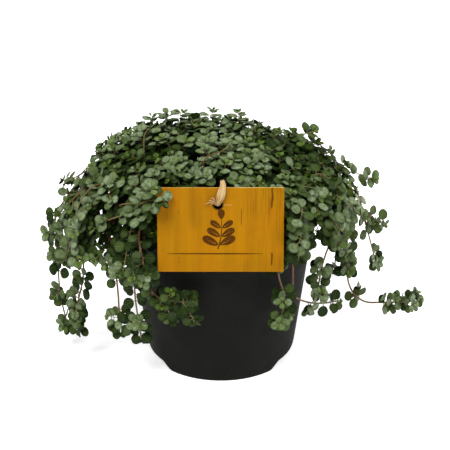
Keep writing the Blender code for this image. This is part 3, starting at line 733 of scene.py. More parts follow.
def stem_material(settings):
    """Thin stem: green near its tip, reddish brown and finely ribbed when older."""
    look = Look("stem", 0.45, 0.4)
    mottle = look.mottle(650.0)
    age = look.plus(look.attribute("age"), look.spread(mottle["Patches"], -0.18, 0.18), True)
    tone = look.mix(age, settings.green_stem, settings.red_stem)
    tone = look.mix(look.times(mottle["Specks"], 0.18), tone, (0.33, 0.17, 0.07))
    return look.finished(tone, look.spread(mottle["Patches"], 0.38, 0.55), mottle["Patches"],
                         0.3, 0.08)


def floor_material(settings):
    """Pale paper sweep with hardly visible fibres; it glows a little, so that it stays white."""
    look = Look("pale_floor", 0.9, 0.1)
    look.shader["Emission Color"].default_value = (1, 1, 1, 1)
    look.feed(look.shader["Emission Strength"], look.spread(look.seen_directly(), 0.35, 0.68))
    greyer = [value * 0.985 for value in settings.floor]
    tone = look.mix(look.mottle(30.0)["Patches"], settings.floor, greyer)
    look.feed(look.shader["Base Color"], tone)
    return look.made


# ------------ shape helpers


def polar(azimuth_degrees, radius, height):
    azimuth = math.radians(azimuth_degrees)
    return Vector((radius * math.cos(azimuth), radius * math.sin(azimuth), height))


def azimuth_of(point):
    return math.degrees(math.atan2(point.y, point.x))


def off_axis(point):
    return math.hypot(point.x, point.y)


def wall_radius(height):
    """Outer radius of the pot's conical wall."""
    share = height / (POT_HEIGHT - POT_RIM_DEPTH)
    return POT_BASE_RADIUS + (POT_WALL_TOP_RADIUS - POT_BASE_RADIUS) * share


def soil_height(radius):
    inner = wall_radius(SOIL_TOP) - POT_WALL
    return SOIL_TOP + SOIL_CROWN * (1 - (radius / inner) ** 2)


def dome_reach(azimuth_degrees):
    """How far the mound reaches from the pot's axis at an azimuth."""
    return DOME_RADIUS - DOME_LEAN * math.cos(math.radians(azimuth_degrees))


def dome_power(azimuth_degrees):
    """The power of the mound's section: 2 is an ellipse, and more is squarer, as on the left."""
    return 2 + DOME_SHOULDER * max(0, -math.cos(math.radians(azimuth_degrees)))


def dome_height(azimuth_degrees, radius):
    share = min(radius / dome_reach(azimuth_degrees), 1)
    power = dome_power(azimuth_degrees)
    return DOME_BASE + DOME_RISE * (1 - share ** power) ** (1 / power)


def tag_frame():
    """The tag's own frame: X across, Y from front to back, Z up the board, origin at its middle."""
    back_at_rim = -(POT_RIM_RADIUS + GAP)
    up = Vector((0, math.sin(TAG_TILT), math.cos(TAG_TILT)))
    through = Vector((0, math.cos(TAG_TILT), -math.sin(TAG_TILT)))
    touch = Vector((0, back_at_rim, POT_HEIGHT))
    middle = touch - through * (TAG_THICKNESS / 2) + up * (TAG_HEIGHT / 2 - TAG_BELOW_RIM)
    axes = Matrix((Vector((1, 0, 0)), through, up)).transposed().to_4x4()
    return Matrix.Translation(middle) @ axes


def smooth_route(points, count):
    """Points along a smooth curve through the given points, evenly spaced by length."""
    padded = [2 * points[0] - points[1], *points, 2 * points[-1] - points[-2]]
    dense = []
    for index in range(1, len(padded) - 2):
        before, start, end, after = padded[index - 1:index + 3]
        for step in range(16):
            t = step / 16
            dense.append(0.5 * (2 * start + (end - before) * t
                                + (2 * before - 5 * start + 4 * end - after) * t ** 2
                                + (3 * start - before - 3 * end + after) * t ** 3))
    dense.append(points[-1])
    lengths = [0]
    for near, far in zip(dense, dense[1:]):
        lengths.append(lengths[-1] + (far - near).length)
    even = []
    index = 0
    for step in range(count):
        wanted = lengths[-1] * step / (count - 1)
        while index < len(dense) - 2 and lengths[index + 1] < wanted:
            index += 1
        share = (wanted - lengths[index]) / (lengths[index + 1] - lengths[index])
        even.append(dense[index].lerp(dense[index + 1], share))
    return even


def tie_points():
    """The raffia loop: behind the board, through its hole, up its face, over it to the stem."""
    place = tag_frame()
    top = TAG_HEIGHT / 2
    clear = TAG_THICKNESS / 2 + TIE_RADIUS + GAP
    on_tag = [
        (TAG_HOLE_X, 4 * clear, TAG_HOLE_Z - 1 * MM),
        (TAG_HOLE_X, clear, TAG_HOLE_Z - 0.6 * MM),
        (TAG_HOLE_X, 0, TAG_HOLE_Z - 0.4 * MM),
        (TAG_HOLE_X, -clear, TAG_HOLE_Z + 0.6 * MM),
        (TAG_HOLE_X + 1.5 * MM, -clear - 0.6 * MM, TAG_HOLE_Z + 5 * MM),
        (TAG_HOLE_X + 2.6 * MM, -clear - 0.1 * MM, top - 0.4 * MM),
        (TAG_HOLE_X + 2.8 * MM, 0, top + clear + 1.2 * MM),
        (TAG_HOLE_X + 3 * MM, 3 * clear, top + clear + 0.8 * MM),
    ]
    points = [place @ Vector(point) for point in on_tag]
    for step in ((3.2, -4, 128), (2.6, 1.6, 123), (0, 3.2, 120), (-2.6, 1.4, 118.5), (-3, -5, 119)):
        points.append(TIED_STEM_PLACE + Vector(step) * MM)
    return [*points, points[0]]


def rooted(azimuth, radius):
    """Where a stem leaves the soil, and the point just above it that makes it start upright."""
    height = soil_height(radius) + GAP
    return [polar(azimuth, radius, height), polar(azimuth, radius, height + ROOT_RISE)]


def crown_route(index):
    """A crown shoot: rises from the soil and leans outwards, spread evenly by the golden angle."""
    share = math.sqrt((index + 0.5) / CROWN_SHOOTS)
    azimuth = CROWN_FIRST_AZIMUTH + math.degrees(index * GOLDEN_ANGLE)
    reach = CROWN_TIP_RADIUS * share * dome_reach(azimuth) / DOME_RADIUS
    off_front = abs((azimuth - FRONT + 180) % 360 - 180)
    if off_front < TAG_SECTOR:
        reach = min(reach, 47 * MM)
    root = 0.42 * reach
    top = dome_height(azimuth, reach) - 3 * MM
    return rooted(azimuth, root) + [
        polar(azimuth, root + 0.1 * reach, 0.6 * SOIL_TOP + 0.4 * top),
        polar(azimuth, 0.7 * reach, 0.25 * SOIL_TOP + 0.75 * top),
        polar(azimuth, reach, top),
    ]


def arching_route(index):
    """An arching shoot: rises between the crown and the runners and bends over towards the rim."""
    open_sector = 360 - 2 * TAG_SECTOR
    azimuth = FRONT + TAG_SECTOR + open_sector * (index + ARCHING_PHASE) / ARCHING_SHOOTS
    reach = dome_reach(azimuth) + 3 * MM * math.sin(2.1 * index)
    forwards = -math.sin(math.radians(azimuth + 3))
    if forwards > 0:
        reach = min(reach, ARCHING_FRONT_REACH / forwards)
    tip = (90 + 13 * math.sin(1.3 * index + 1)) * MM
    return rooted(azimuth, 36 * MM) + [
        polar(azimuth, 46 * MM, 113 * MM),
        polar(azimuth + 2, 0.7 * reach, 127 * MM),
        polar(azimuth + 3, 0.9 * reach, 108 * MM),
        polar(azimuth + 3, reach, tip),
    ]


def trailing_route(root_azimuth, waypoints):
    """A trailing runner: rooted near the rim, over it and down outside the pot."""
    points = rooted(root_azimuth, 48 * MM)
    points += [polar(azimuth, radius * MM, height * MM) for azimuth, radius, height in waypoints]
    return points


def tied_route():
    """The crown stem that the tag's loop goes round."""
    foot = TIED_STEM_PLACE
    return rooted(FRONT, foot.length) + [
        Vector((foot.x, foot.y, 112 * MM)),
        Vector((foot.x, foot.y - 0.5 * MM, 126 * MM)),
        Vector((foot.x + 3 * MM, foot.y - 6 * MM, 143 * MM)),
    ]


# ------------ pieces


def show(name, data):
    """A new object in the scene that shows the data."""
    made = bpy.data.objects.new(name, data)
    bpy.context.scene.collection.objects.link(made)
    return made


def add_piece(name, bm, sharp_angle, materials, stands_for=()):
    """Show a bmesh as a piece that stands with the pot, and hide the nodes that it stands for."""
    mesh = finished_mesh(bm, name, sharp_angle)
    for look in materials:
        mesh.materials.append(look)
    piece = show(name, mesh)
    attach(piece, "root")
    if stands_for:
        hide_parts(*stands_for)


def finished_mesh(bm, name, sharp_angle=40):
    """A mesh with smooth faces and sharp creases from a bmesh that is no longer needed."""
    mesh = bpy.data.meshes.new(name)
    bm.to_mesh(mesh)
    bm.free()
    mesh.shade_smooth()
    mesh.set_sharp_from_angle(angle=math.radians(sharp_angle))
    return mesh


def curve_solid(name, curve):
    """The solid that a curve makes, as a bmesh with its caps welded on."""
    holder = show(name, curve)
    bpy.context.view_layer.update()
    graph = bpy.context.evaluated_depsgraph_get()
    mesh = bpy.data.meshes.new_from_object(holder.evaluated_get(graph), depsgraph=graph)
    bpy.data.objects.remove(holder)
    bpy.data.curves.remove(curve)
    bm = bmesh.new()
    bm.from_mesh(mesh)
    bpy.data.meshes.remove(mesh)
    bmesh.ops.remove_doubles(bm, verts=bm.verts, dist=1e-7)
    bmesh.ops.recalc_face_normals(bm, faces=bm.faces)
    return bm


def turned(profile, segments):
    """A closed round body from a profile that starts and ends on the axis."""
    bm = bmesh.new()
    corners = [bm.verts.new((radius, 0, height)) for radius, height in profile]
    edges = [bm.edges.new(pair) for pair in zip(corners, corners[1:])]
    bmesh.ops.spin(bm, geom=corners + edges, cent=(0, 0, 0), axis=UP, dvec=(0, 0, 0),
                   angle=2 * math.pi, steps=segments, use_merge=True, use_duplicate=False)
    bmesh.ops.remove_doubles(bm, verts=bm.verts, dist=1e-6)
    bmesh.ops.recalc_face_normals(bm, faces=bm.faces)
    return bm


def rounded(corner, start_degrees, end_degrees, radius, steps=5):
    """Points of an arc round a corner's centre, as radius and height pairs."""
    points = []
    for step in range(steps + 1):
        angle = math.radians(start_degrees + (end_degrees - start_degrees) * step / steps)
        points.append((corner[0] + radius * math.cos(angle), corner[1] + radius * math.sin(angle)))
    return points


def floor_profile(lift, inset):
    """The pot's floor from the middle outwards, raised by lift and drawn in by inset."""
    foot_inner = POT_BASE_RADIUS - POT_WALL - FOOT_WIDTH
    slope = PAD_RADIUS + CHANNEL_HEIGHT / 2 - inset
    return [(0, lift), (PAD_RADIUS / 2, lift), (PAD_RADIUS - inset, lift),
            (slope, CHANNEL_HEIGHT + lift),
            (foot_inner - CHANNEL_HEIGHT / 4, CHANNEL_HEIGHT + lift)]


def pot_profile(height, rim_radius, wall):
    """Half section of the pot: inner floor, inner wall, rolled rim, outer wall, foot, underside."""
    rim_base = height - POT_RIM_DEPTH
    inner_low = CHANNEL_HEIGHT + 2 * wall
    inside = floor_profile(wall, 0)
    for step in range(9):
        level = inner_low + (rim_base - inner_low) * step / 8
        inside.append((wall_radius(level) - wall, level))
    inner_rim = rim_radius - 2 * wall
    inside.append((inner_rim, height - 2 * wall))
    lip = wall * 0.6
    top = rounded((inner_rim + lip, height - lip), 180, 90, lip)
    top += rounded((rim_radius - lip, height - lip), 90, 0, lip)
    band = [(rim_radius, rim_base + 3 * wall), (rim_radius, rim_base + wall)]
    band += rounded((rim_radius - 0.5 * wall, rim_base + lip), 0, -70, wall * 0.5, 3)
    band.append((wall_radius(rim_base - 0.3 * wall), rim_base - 0.1 * wall))
    outside = [(wall_radius(level * MM), level * MM) for level in WALL_LEVELS]
    foot = rounded((POT_BASE_RADIUS - wall, wall), 0, -90, wall, 6)
    foot.append((POT_BASE_RADIUS - wall - FOOT_WIDTH, 0))
    return inside + top + band + outside + foot + floor_profile(0, wall)[::-1]


def notch_shape(across):
    """How high a notch is, from 0 at its ends (across -1 and 1) to 1 over its flat middle."""
    slope = max(0, (abs(across) - NOTCH_FLAT) / (1 - NOTCH_FLAT))
    return 1 - slope * slope * (3 - 2 * slope)


def notch_rise(azimuth_degrees):
    """How far the foot is lifted at an azimuth by the drain notches."""
    rise = 0
    for notch in NOTCH_AZIMUTHS:
        off = abs((azimuth_degrees - notch + 180) % 360 - 180)
        across = min(math.radians(off) * POT_BASE_RADIUS / (NOTCH_WIDTH / 2), 1)
        rise = max(rise, NOTCH_HEIGHT * notch_shape(across))
    return rise


def lift_foot(bm):
    """Wave the foot ring up into its three drain notches and let the wall follow."""
    for corner in bm.verts:
        place = corner.co
        if place.z > NOTCH_BLEND or off_axis(place) < POT_BASE_RADIUS - 2 * FOOT_WIDTH:
            continue
        place.z += notch_rise(azimuth_of(place)) * (1 - place.z / NOTCH_BLEND) ** 1.5


def drill(bm, cutters):
    """Cut round holes, given as bmesh cutters, out of a bmesh; returns the drilled bmesh."""
    target = show("drilled", finished_mesh(bm, "drilled"))
    tools = [show("cutter", finished_mesh(cutter, "cutter")) for cutter in cutters]
    for tool in tools:
        boolean = target.modifiers.new("hole", "BOOLEAN")
        boolean.operation = "DIFFERENCE"
        boolean.solver = "EXACT"
        boolean.object = tool
    bpy.context.view_layer.update()
    graph = bpy.context.evaluated_depsgraph_get()
    drilled = bmesh.new()
    drilled.from_mesh(target.evaluated_get(graph).to_mesh())
    for gone in [target, *tools]:
        bpy.data.objects.remove(gone)
    return drilled


def make_pot(settings, looks):
    """The pot: turned, its foot lifted into the notches, and its drain holes drilled."""
    bm = turned(pot_profile(settings.height, settings.rim_radius, settings.wall), POT_SEGMENTS)
    lift_foot(bm)
    cutters = []
    for index in range(DRAIN_HOLES):
        hole = bmesh.new()
        bmesh.ops.create_cone(hole, cap_ends=True, segments=32, radius1=DRAIN_HOLE_RADIUS,
                              radius2=DRAIN_HOLE_RADIUS, depth=8 * settings.wall)
        place = polar(360 / DRAIN_HOLES * index + 4, DRAIN_CIRCLE_RADIUS, CHANNEL_HEIGHT)
        bmesh.ops.translate(hole, vec=place, verts=hole.verts)
        cutters.append(hole)
    add_piece("nursery_pot", drill(bm, cutters), 35, [looks["pot"]], ["pot"])


def make_soil(looks):
    """The lumpy peat that fills the pot, from its floor to a low crown under the rim."""
    bottom = CHANNEL_HEIGHT + 2 * POT_WALL + GAP
    side_gap = POT_WALL + GAP
    edge = wall_radius(SOIL_TOP) - side_gap
    radii = [edge * ring / SOIL_RINGS for ring in range(SOIL_RINGS)]
    profile = [(radius, soil_height(radius)) for radius in radii]
    profile += [(edge, SOIL_TOP - GAP), (wall_radius(bottom) - side_gap, bottom)]
    profile += floor_profile(side_gap, 2 * GAP)[::-1]
    bm = turned(profile, 110)
    for corner in bm.verts:
        if corner.co.z > SOIL_TOP - MM:
            spot = corner.co * 160
            lump = noise.noise(spot) * 1.3 + noise.noise(spot * 2.9) * 0.6
            fade = min(1, (edge - off_axis(corner.co)) / (3 * MM) + 0.25)
            corner.co.z += lump * MM * fade - 0.3 * MM
    add_piece("soil_surface", bm, 60, [looks["soil"]], ["potting_soil"])


def make_crumbs(settings, looks):
    """Loose peat crumbs and a few pale mineral grains, half sunk in the surface."""
    rng = random.Random(11)
    noise.seed_set(NOISE_SEED)
    bm = bmesh.new()
    pale = bm.verts.layers.float.new("pale")
    edge = wall_radius(SOIL_TOP) - POT_WALL - 2.5 * MM
    for _ in range(settings.crumbs):
        size = settings.crumb_size * rng.uniform(0.3, 1.0) ** 1.3
        azimuth, radius = rng.uniform(0, 360), edge * math.sqrt(rng.random())
        place = Matrix.Translation(polar(azimuth, radius, soil_height(radius) + 0.12 * size))
        turn = Matrix.Rotation(rng.uniform(0, math.tau), 4, Vector((rng.random(), 1, 0.4)))
        shape = Matrix.Diagonal((size, size * rng.uniform(0.5, 0.8),
                                 size * rng.uniform(0.4, 0.7), 1))
        lump = bmesh.ops.create_icosphere(bm, subdivisions=1, radius=0.5,
                                          matrix=place @ turn @ shape)["verts"]
        grain = 1.0 if rng.random() < 0.09 else 0.0
        for corner in lump:
            corner.co += noise.noise_vector(corner.co * 900) * size * 0.13
            corner[pale] = grain
    add_piece("soil_crumbs", bm, 50, [looks["soil"]])


def flat_curve(thickness, edge_round=0.0):
    """An empty flat outline that gets a thickness and, where wanted, rounded edges."""
    curve = bpy.data.curves.new("outline", "CURVE")
    curve.dimensions = "2D"
    curve.fill_mode = "BOTH"
    curve.bevel_depth = edge_round
    curve.bevel_resolution = 1
    curve.offset = -edge_round
    curve.extrude = thickness / 2 - edge_round
    return curve


def add_outline(curve, points):
    spline = curve.splines.new("POLY")
    spline.points.add(len(points) - 1)
    for target, (x, y) in zip(spline.points, points):
        target.co = (x, y, 0, 1)
    spline.use_cyclic_u = True


def laid_on_board(name, curve, height=0.0):
    """The solid of a flat drawing, X across and Y up, laid on the board; height is how far its
    middle is from the board's, towards the front."""
    bm = curve_solid(name, curve)
    lie = Matrix.Translation((0, -height, 0)) @ Matrix.Rotation(math.radians(90), 4, "X")
    bmesh.ops.transform(bm, matrix=tag_frame() @ lie, verts=bm.verts)
    bmesh.ops.recalc_face_normals(bm, faces=bm.faces)
    return bm


def make_tag(looks):
    """The board: rounded corners and edges, and the hole for the raffia."""
    curve = flat_curve(TAG_THICKNESS, 0.16 * MM)
    corner = 0.7 * MM
    x, y = TAG_WIDTH / 2 - corner, TAG_HEIGHT / 2 - corner
    outline = []
    for centre_x, centre_y, start in ((x, y, 0), (-x, y, 90), (-x, -y, 180), (x, -y, 270)):
        outline += rounded((centre_x, centre_y), start, start + 90, corner, 4)
    add_outline(curve, outline)
    hole = rounded((TAG_HOLE_X, TAG_HOLE_Z), 360, 0, TAG_HOLE_RADIUS, 40)
    add_outline(curve, hole[:-1])
    add_piece("tag_board", laid_on_board("tag_board", curve), 30, [looks["wood"]],
              ["hang_tag"])


def leaf_outline(reach, width, start, direction):
    """Outline of a round leaf with a short point, on the flat drawing."""
    side = Vector((-direction.y, direction.x))
    points = []
    for step in range(14):
        t = math.tau * step / 14
        along = 0.5 - 0.5 * math.cos(t)
        across = 0.5 * math.sin(t) * (1 - 0.25 * math.cos(t))
        points.append(start + direction * (along * reach) + side * (across * width))
    return points


def on_sprig(t):
    """A point on the printed sprig's bowed stem, from its foot at 0 to its top at 1."""
    return SPRIG_FOOT.lerp(SPRIG_TOP, t) + Vector((MM, 0)) * math.sin(math.pi * t)


def add_sprig(curve):
    """A sprig with three pairs of round leaves, each with a cut-out vein, and one at its top."""
    left, right = [], []
    for index in range(17):
        half = Vector((0.34 * MM * (1.2 - index / 24), 0))
        left.append(on_sprig(index / 16) - half)
        right.append(on_sprig(index / 16) + half)
    add_outline(curve, left + right[::-1])
    for index, t in enumerate((0.12, 0.40, 0.68)):
        size = (10.3 - 1.4 * index) * MM
        for sign in (-1, 1):
            heading = Vector((sign * 0.88, 0.47 + 0.08 * index)).normalized()
            start = on_sprig(t) + heading * 0.6 * MM
            add_outline(curve, leaf_outline(size, size * 0.47, start, heading))
            vein = start + heading * size * 0.14
            across = Vector((-heading.y, heading.x)) * 0.22 * MM
            add_outline(curve, [vein - across, vein + across, vein + heading * size * 0.66])
    add_outline(curve, leaf_outline(6.0 * MM, 4.2 * MM, SPRIG_TOP, Vector((0, 1))))


def add_rule(curve):
    """A rule line that swells in its middle; each point is its place and thickness in mm."""
    above, below = [], []
    for x, thick in ((-31.5, 0.26), (-24, 0.56), (-8, 0.76), (6, 0.80), (18, 0.52), (25, 0.22)):
        above.append((x * MM, RULE_HEIGHT + thick * MM / 2))
        below.append((x * MM, RULE_HEIGHT - thick * MM / 2))
    add_outline(curve, above + below[::-1])


def make_tag_print(settings, looks):
    """Generic print on the board: a sprig of round leaves in pairs over a plain rule."""
    curve = flat_curve(settings.print_depth)
    add_sprig(curve)
    add_rule(curve)
    lift = TAG_THICKNESS / 2 + settings.print_depth / 2
    add_piece("tag_print", laid_on_board("tag_print", curve, lift), 30, [looks["print"]])


# A ribbon's section at one station: its middle, the direction across it and its width.
Station = namedtuple("Station", "place across width")


def ribbon(bm, stations, thickness, fold, closed=False):
    """Sweep a thin folded strip along stations, with its fibre map running along it."""
    uv = bm.loops.layers.uv.get("fibre") or bm.loops.layers.uv.new("fibre")
    steps = 6
    rows = []
    for index, station in enumerate(stations):
        near = stations[index - 1 if closed else max(index - 1, 0)].place
        far = stations[(index + 1) % len(stations) if closed
                       else min(index + 1, len(stations) - 1)].place
        forward = (far - near).normalized()
        across = (station.across - forward * station.across.dot(forward)).normalized()
        face = across.cross(forward)
        row = []
        for side in (1, -1):
            for step in range(steps + 1):
                share = step / steps * 2 - 1
                crease = fold * math.cos(math.pi * share * 1.5)
                half = thickness / 2 * (1 - 0.7 * abs(share))
                row.append(bm.verts.new(station.place + across * (share * side * station.width / 2)
                                        + face * (crease + side * half)))
        rows.append(row)
    count = len(rows)
    for index in range(count if closed else count - 1):
        row, ahead = rows[index], rows[(index + 1) % count]
        for step in range(len(row)):
            after = (step + 1) % len(row)
            face = bm.faces.new((row[step], row[after], ahead[after], ahead[step]))
            for loop, (u, v) in zip(face.loops, ((step, index), (step + 1, index),
                                                 (step + 1, index + 1), (step, index + 1))):
                loop[uv].uv = (u / len(row), v * 0.03)
    if not closed:
        bm.faces.new(rows[0])
        bm.faces.new(rows[-1])
    bmesh.ops.recalc_face_normals(bm, faces=bm.faces)


def make_raffia(settings, looks):
    """The raffia loop as a folded band with loose strands, and a frayed end beside the hole."""
    noise.seed_set(NOISE_SEED)
    bm = bmesh.new()
    route = smooth_route(tie_points(), TIE_STATIONS)[:-1]
    across = Vector((1, 0, 0))
    board = tag_frame()
    hole = board @ Vector((TAG_HOLE_X, 0, TAG_HOLE_Z))
    belly = board @ Vector((TAG_HOLE_X + 1.6 * MM, -1.5 * MM, TAG_HEIGHT / 2 - 4.5 * MM))
    # each strand: how far aside it lies, its share of the width, and how far it is lifted
    strands = ((0, 1.0, 0), (0.9, 0.42, 0.35), (-1.0, 0.3, 0.3))
    for strand, (shift, share, lift) in enumerate(strands):
        stations = []
        for index, point in enumerate(route):
            near_hole = math.exp(-((point - hole).length / (4.2 * MM)) ** 2)
            near_belly = math.exp(-((point - belly).length / (6.5 * MM)) ** 2)
            width = RAFFIA_NARROW + (settings.raffia_width - RAFFIA_NARROW) * near_belly
            width = (width * (1 - near_hole) + RAFFIA_AT_HOLE * near_hole) * share
            sway = Vector((shift * MM * (0.25 + 0.75 * near_belly), 0, 0))
            wander = noise.noise_vector(Vector((index * 0.23, strand * 5.0, 0))) * 0.3 * MM
            outward = Vector((0, -lift * MM, lift * MM * 0.5)) * (1 - near_hole)
            stations.append(Station(point + sway + wander + outward, across, width))
        ribbon(bm, stations, 0.28 * MM, 0.32 * MM, closed=True)
    add_frayed_ends(bm, board)
    add_piece("raffia_loop", bm, 50, [looks["raffia"]], ["tag_tie"])


def add_frayed_ends(bm, board):
    """Short torn fibres that fan out of the hole over the board's face."""
    rng = random.Random(5)
    front = -(TAG_THICKNESS / 2 + 0.5 * MM)
    foot = TAG_HOLE_Z + 0.4 * MM
    base = Vector((TAG_HOLE_X - 1.2 * MM, front + 0.2 * MM, foot))
    across = board.to_3x3() @ Vector((0.3, 0, 1))
    for tip_x, tip_z in ((-8.0, -0.2), (-6.8, 0.8), (-5.4, 2.6), (-3.8, 4.0), (-4.6, -0.6)):
        tip = Vector((TAG_HOLE_X + tip_x * MM, front - rng.uniform(0.2, 0.9) * MM,
                      foot + tip_z * MM))
        bend = Vector((0, -0.6 * MM, rng.uniform(1.0, 2.0) * MM))
        stations = []
        for step in range(8):
            t = step / 7
            place = base.lerp(tip, t) + bend * math.sin(math.pi * t)
            width = (1.2 - 0.85 * t) * MM * rng.uniform(0.8, 1.1)
            stations.append(Station(board @ place, across, width))
        ribbon(bm, stations, 0.16 * MM, 0.08 * MM)


# ------------ foliage


def leaf_template(name, cup, fold, wave):
    """A round leaf one unit wide: its stalk starts at the origin, its tip points along +Y and
    its upper face along +Z. Cup bends the margin down, fold lifts both halves off the midrib."""
    bm = bmesh.new()
    uv = bm.loops.layers.uv.new("blade")
    bmesh.ops.create_cone(bm, cap_ends=True, cap_tris=True, segments=12, radius1=0.5,
                          radius2=0.29, depth=0.1)
    for face in bm.faces:
        face.material_index = 1 if all(corner.co.z < 0 for corner in face.verts) else 0
        for loop in face.loops:
            loop[uv].uv = (loop.vert.co.x + 0.5, loop.vert.co.y + 0.5)
    for corner in bm.verts:
        x, y, z = corner.co
        radius = math.hypot(x, y) / 0.5
        if radius > 0.9:
            z = 0
        elif z > 0:
            z = 0.055
        else:
            z = -0.03
        azimuth = math.atan2(y, x)
        z += -cup * radius ** 2 + fold * abs(x) * 2 * radius
        z += wave * math.sin(3 * azimuth + 0.7) * radius ** 2
        taper = 1 - 0.10 * max(0, -y / 0.5) - 0.03 * max(0, y / 0.5)
        corner.co = (x * taper, y * 1.02 + 0.5 + LEAF_START, z)
    made = bmesh.ops.create_cone(bm, cap_ends=True, segments=3, radius1=0.05, radius2=0.035,
                                 depth=LEAF_STALK * 1.5)["verts"]
    lie_down = (Matrix.Translation((0, LEAF_STALK * 0.72, -cup * 0.35 - 0.02))
                @ Matrix.Rotation(math.radians(-90), 4, "X"))
    bmesh.ops.transform(bm, matrix=lie_down, verts=made)
    for face in {face for corner in made for face in corner.link_faces}:
        face.material_index = 2
    bmesh.ops.recalc_face_normals(bm, faces=bm.faces)
    mesh = bpy.data.meshes.new(name)
    bm.to_mesh(mesh)
    bm.free()
    return mesh


Leaf = namedtuple("Leaf", "shape place young tint centre")
Shoot = namedtuple("Shoot", "group route sides vigour glow turn hanging")


class Crowd:
    """The leaves placed so far, as discs in a grid, so that new ones can be kept out of them."""

    CELL = 8 * MM

    def __init__(self):
        self.cells = {}

    def key(self, point):
        return tuple(int(value // self.CELL) for value in point)

    def nearby(self, point):
        for cell in product(*((at - 1, at, at + 1) for at in self.key(point))):
            yield from self.cells.get(cell, ())

    def add(self, centre, normal, radius):
        self.cells.setdefault(self.key(centre), []).append((centre, normal, radius))

    def crossing(self, centre, normal, radius):
        """The longest cut that a disc would make with one of its neighbours."""
        worst = 0
        for other, facing, reach in self.nearby(centre):
            gap = other - centre
            distance = gap.length
            if distance > radius + reach:
                continue
            tilt = normal.cross(facing)
            sine = tilt.length
            if sine < 0.12:
                if abs(gap.dot(normal)) < LAYER_GAP:
                    worst = max(worst, radius + reach - distance)
                continue
            here = abs(gap.dot(facing)) / sine
            there = abs(gap.dot(normal)) / sine
            if here >= radius or there >= reach:
                continue
            chords = math.sqrt(radius ** 2 - here ** 2) + math.sqrt(reach ** 2 - there ** 2)
            worst = max(worst, chords - abs(gap.dot(tilt)) / sine)
        return worst


class Surroundings:
    """The pot, soil, tag, raffia and floor that stems and leaves stay clear of."""

    def __init__(self):
        self.to_tag = tag_frame().inverted()
        self.tie = KDTree(TIE_STATIONS)
        for index, point in enumerate(smooth_route(tie_points(), TIE_STATIONS)):
            self.tie.insert(point, index)
        self.tie.balance()
        self.open_stems = []

    def keep_open(self, route):
        """Remember a stem that no leaf may cover; its first and last stretches may be covered."""
        self.open_stems += route[len(route) // 4:-3]

    def covers_open_stem(self, centre, radius):
        return any((centre - point).length < radius + 0.9 * MM for point in self.open_stems)

    def blocks(self, point, margin):
        radius = off_axis(point)
        if point.z < margin:
            return True
        if radius < POT_RIM_RADIUS + margin and point.z < POT_HEIGHT + margin:
            inside = radius < wall_radius(SOIL_TOP) - POT_WALL - margin
            outside = radius > (POT_RIM_RADIUS if point.z > POT_HEIGHT - POT_RIM_DEPTH
                                else wall_radius(point.z)) + margin
            if not outside and not (inside and point.z > SOIL_HIGH.z + margin):
                return True
        local = self.to_tag @ point
        if (abs(local.x) < TAG_WIDTH / 2 + margin and abs(local.z) < TAG_HEIGHT / 2 + margin
                and abs(local.y) < TAG_THICKNESS / 2 + margin):
            return True
        return self.tie.find(point)[2] < TIE_CLEAR + margin


def parallel_sides(route):
    """A sideways direction at each point of a route, carried along it without twist."""
    sides = []
    for index in range(len(route)):
        near, far = route[max(index - 1, 0)], route[min(index + 1, len(route) - 1)]
        forward = (far - near).normalized()
        if index == 0:
            side = forward.cross(UP if abs(forward.z) < 0.9 else Vector((1, 0, 0)))
        side = (side - forward * side.dot(forward)).normalized()
        sides.append(side)
    return sides


def between(value, low, high):
    """The value's place between low and high, eased, as a share from 0 to 1."""
    share = min(max((value - low) / (high - low), 0), 1)
    return share * share * (3 - 2 * share)


def heading_at(route, index):
    """The direction in which a route runs at one of its inner points."""
    return (route[index + 1] - route[index - 1]).normalized()


def near_soil(point, height):
    """Whether a point in the pot is less than a height above the soil."""
    return point.z < SOIL_HIGH.z + height and off_axis(point) < POT_RIM_RADIUS


def missing_twigs(row, height):
    """The share of its side twigs that a runner lacks at a height."""
    if row == THIN_TOP_ROW and height > THIN_TOP_Z:
        return MOST_MISSING
    return MISSING_TWIGS.get(row, 0.25)


def past_front(point):
    """Whether a point lies before the mound's front, which draws back towards its corners."""
    corner = between(abs(point.x), 25 * MM, 62 * MM)
    return -point.y > FRONT_LIMIT + (FRONT_CORNER_LIMIT - FRONT_LIMIT) * corner


def in_mound(point):
    """Whether the mound has a skin here: not past its left shoulder, nor in its open front."""
    past_shoulder = point.x < SHOULDER_X and point.z > SHOULDER_Z
    open_front = point.z <= OPEN_FRONT_Z and point.x >= OPEN_FRONT_X and point.y <= OPEN_FRONT_Y
    return not (past_shoulder or open_front)


def skin_facing(point):
    """The direction that leaves turn their upper faces to: outwards, up and to the window side."""
    reach = dome_reach(azimuth_of(point))
    height = max(point.z - DOME_BASE, 0)
    outward = Vector((point.x / reach ** 2, point.y / reach ** 2, height / DOME_RISE ** 2))
    outward = outward.normalized() if outward.length > 1e-6 else UP.copy()
    low = between(DOME_BASE + 20 * MM - point.z, 0, 25 * MM)
    outside = between(-skin_depth(point), 0, 5 * MM)
    window_side = max(0.10 + 0.90 * low, 0.9 * outside) * (1 - between(point.y, 10 * MM, 60 * MM))
    return (outward + UP * 0.38 + Vector((0, -window_side, 0))).normalized()


def skin_depth(point):
    """How far a point lies inside the mound's skin, roughly; 0 below its widest ring."""
    if point.z < DOME_BASE:
        return 0.0
    azimuth = azimuth_of(point)
    power = dome_power(azimuth)
    across = off_axis(point) / dome_reach(azimuth)
    up = (point.z - DOME_BASE) / DOME_RISE
    return (1 - (across ** power + up ** power) ** (1 / power)) * DOME_RISE


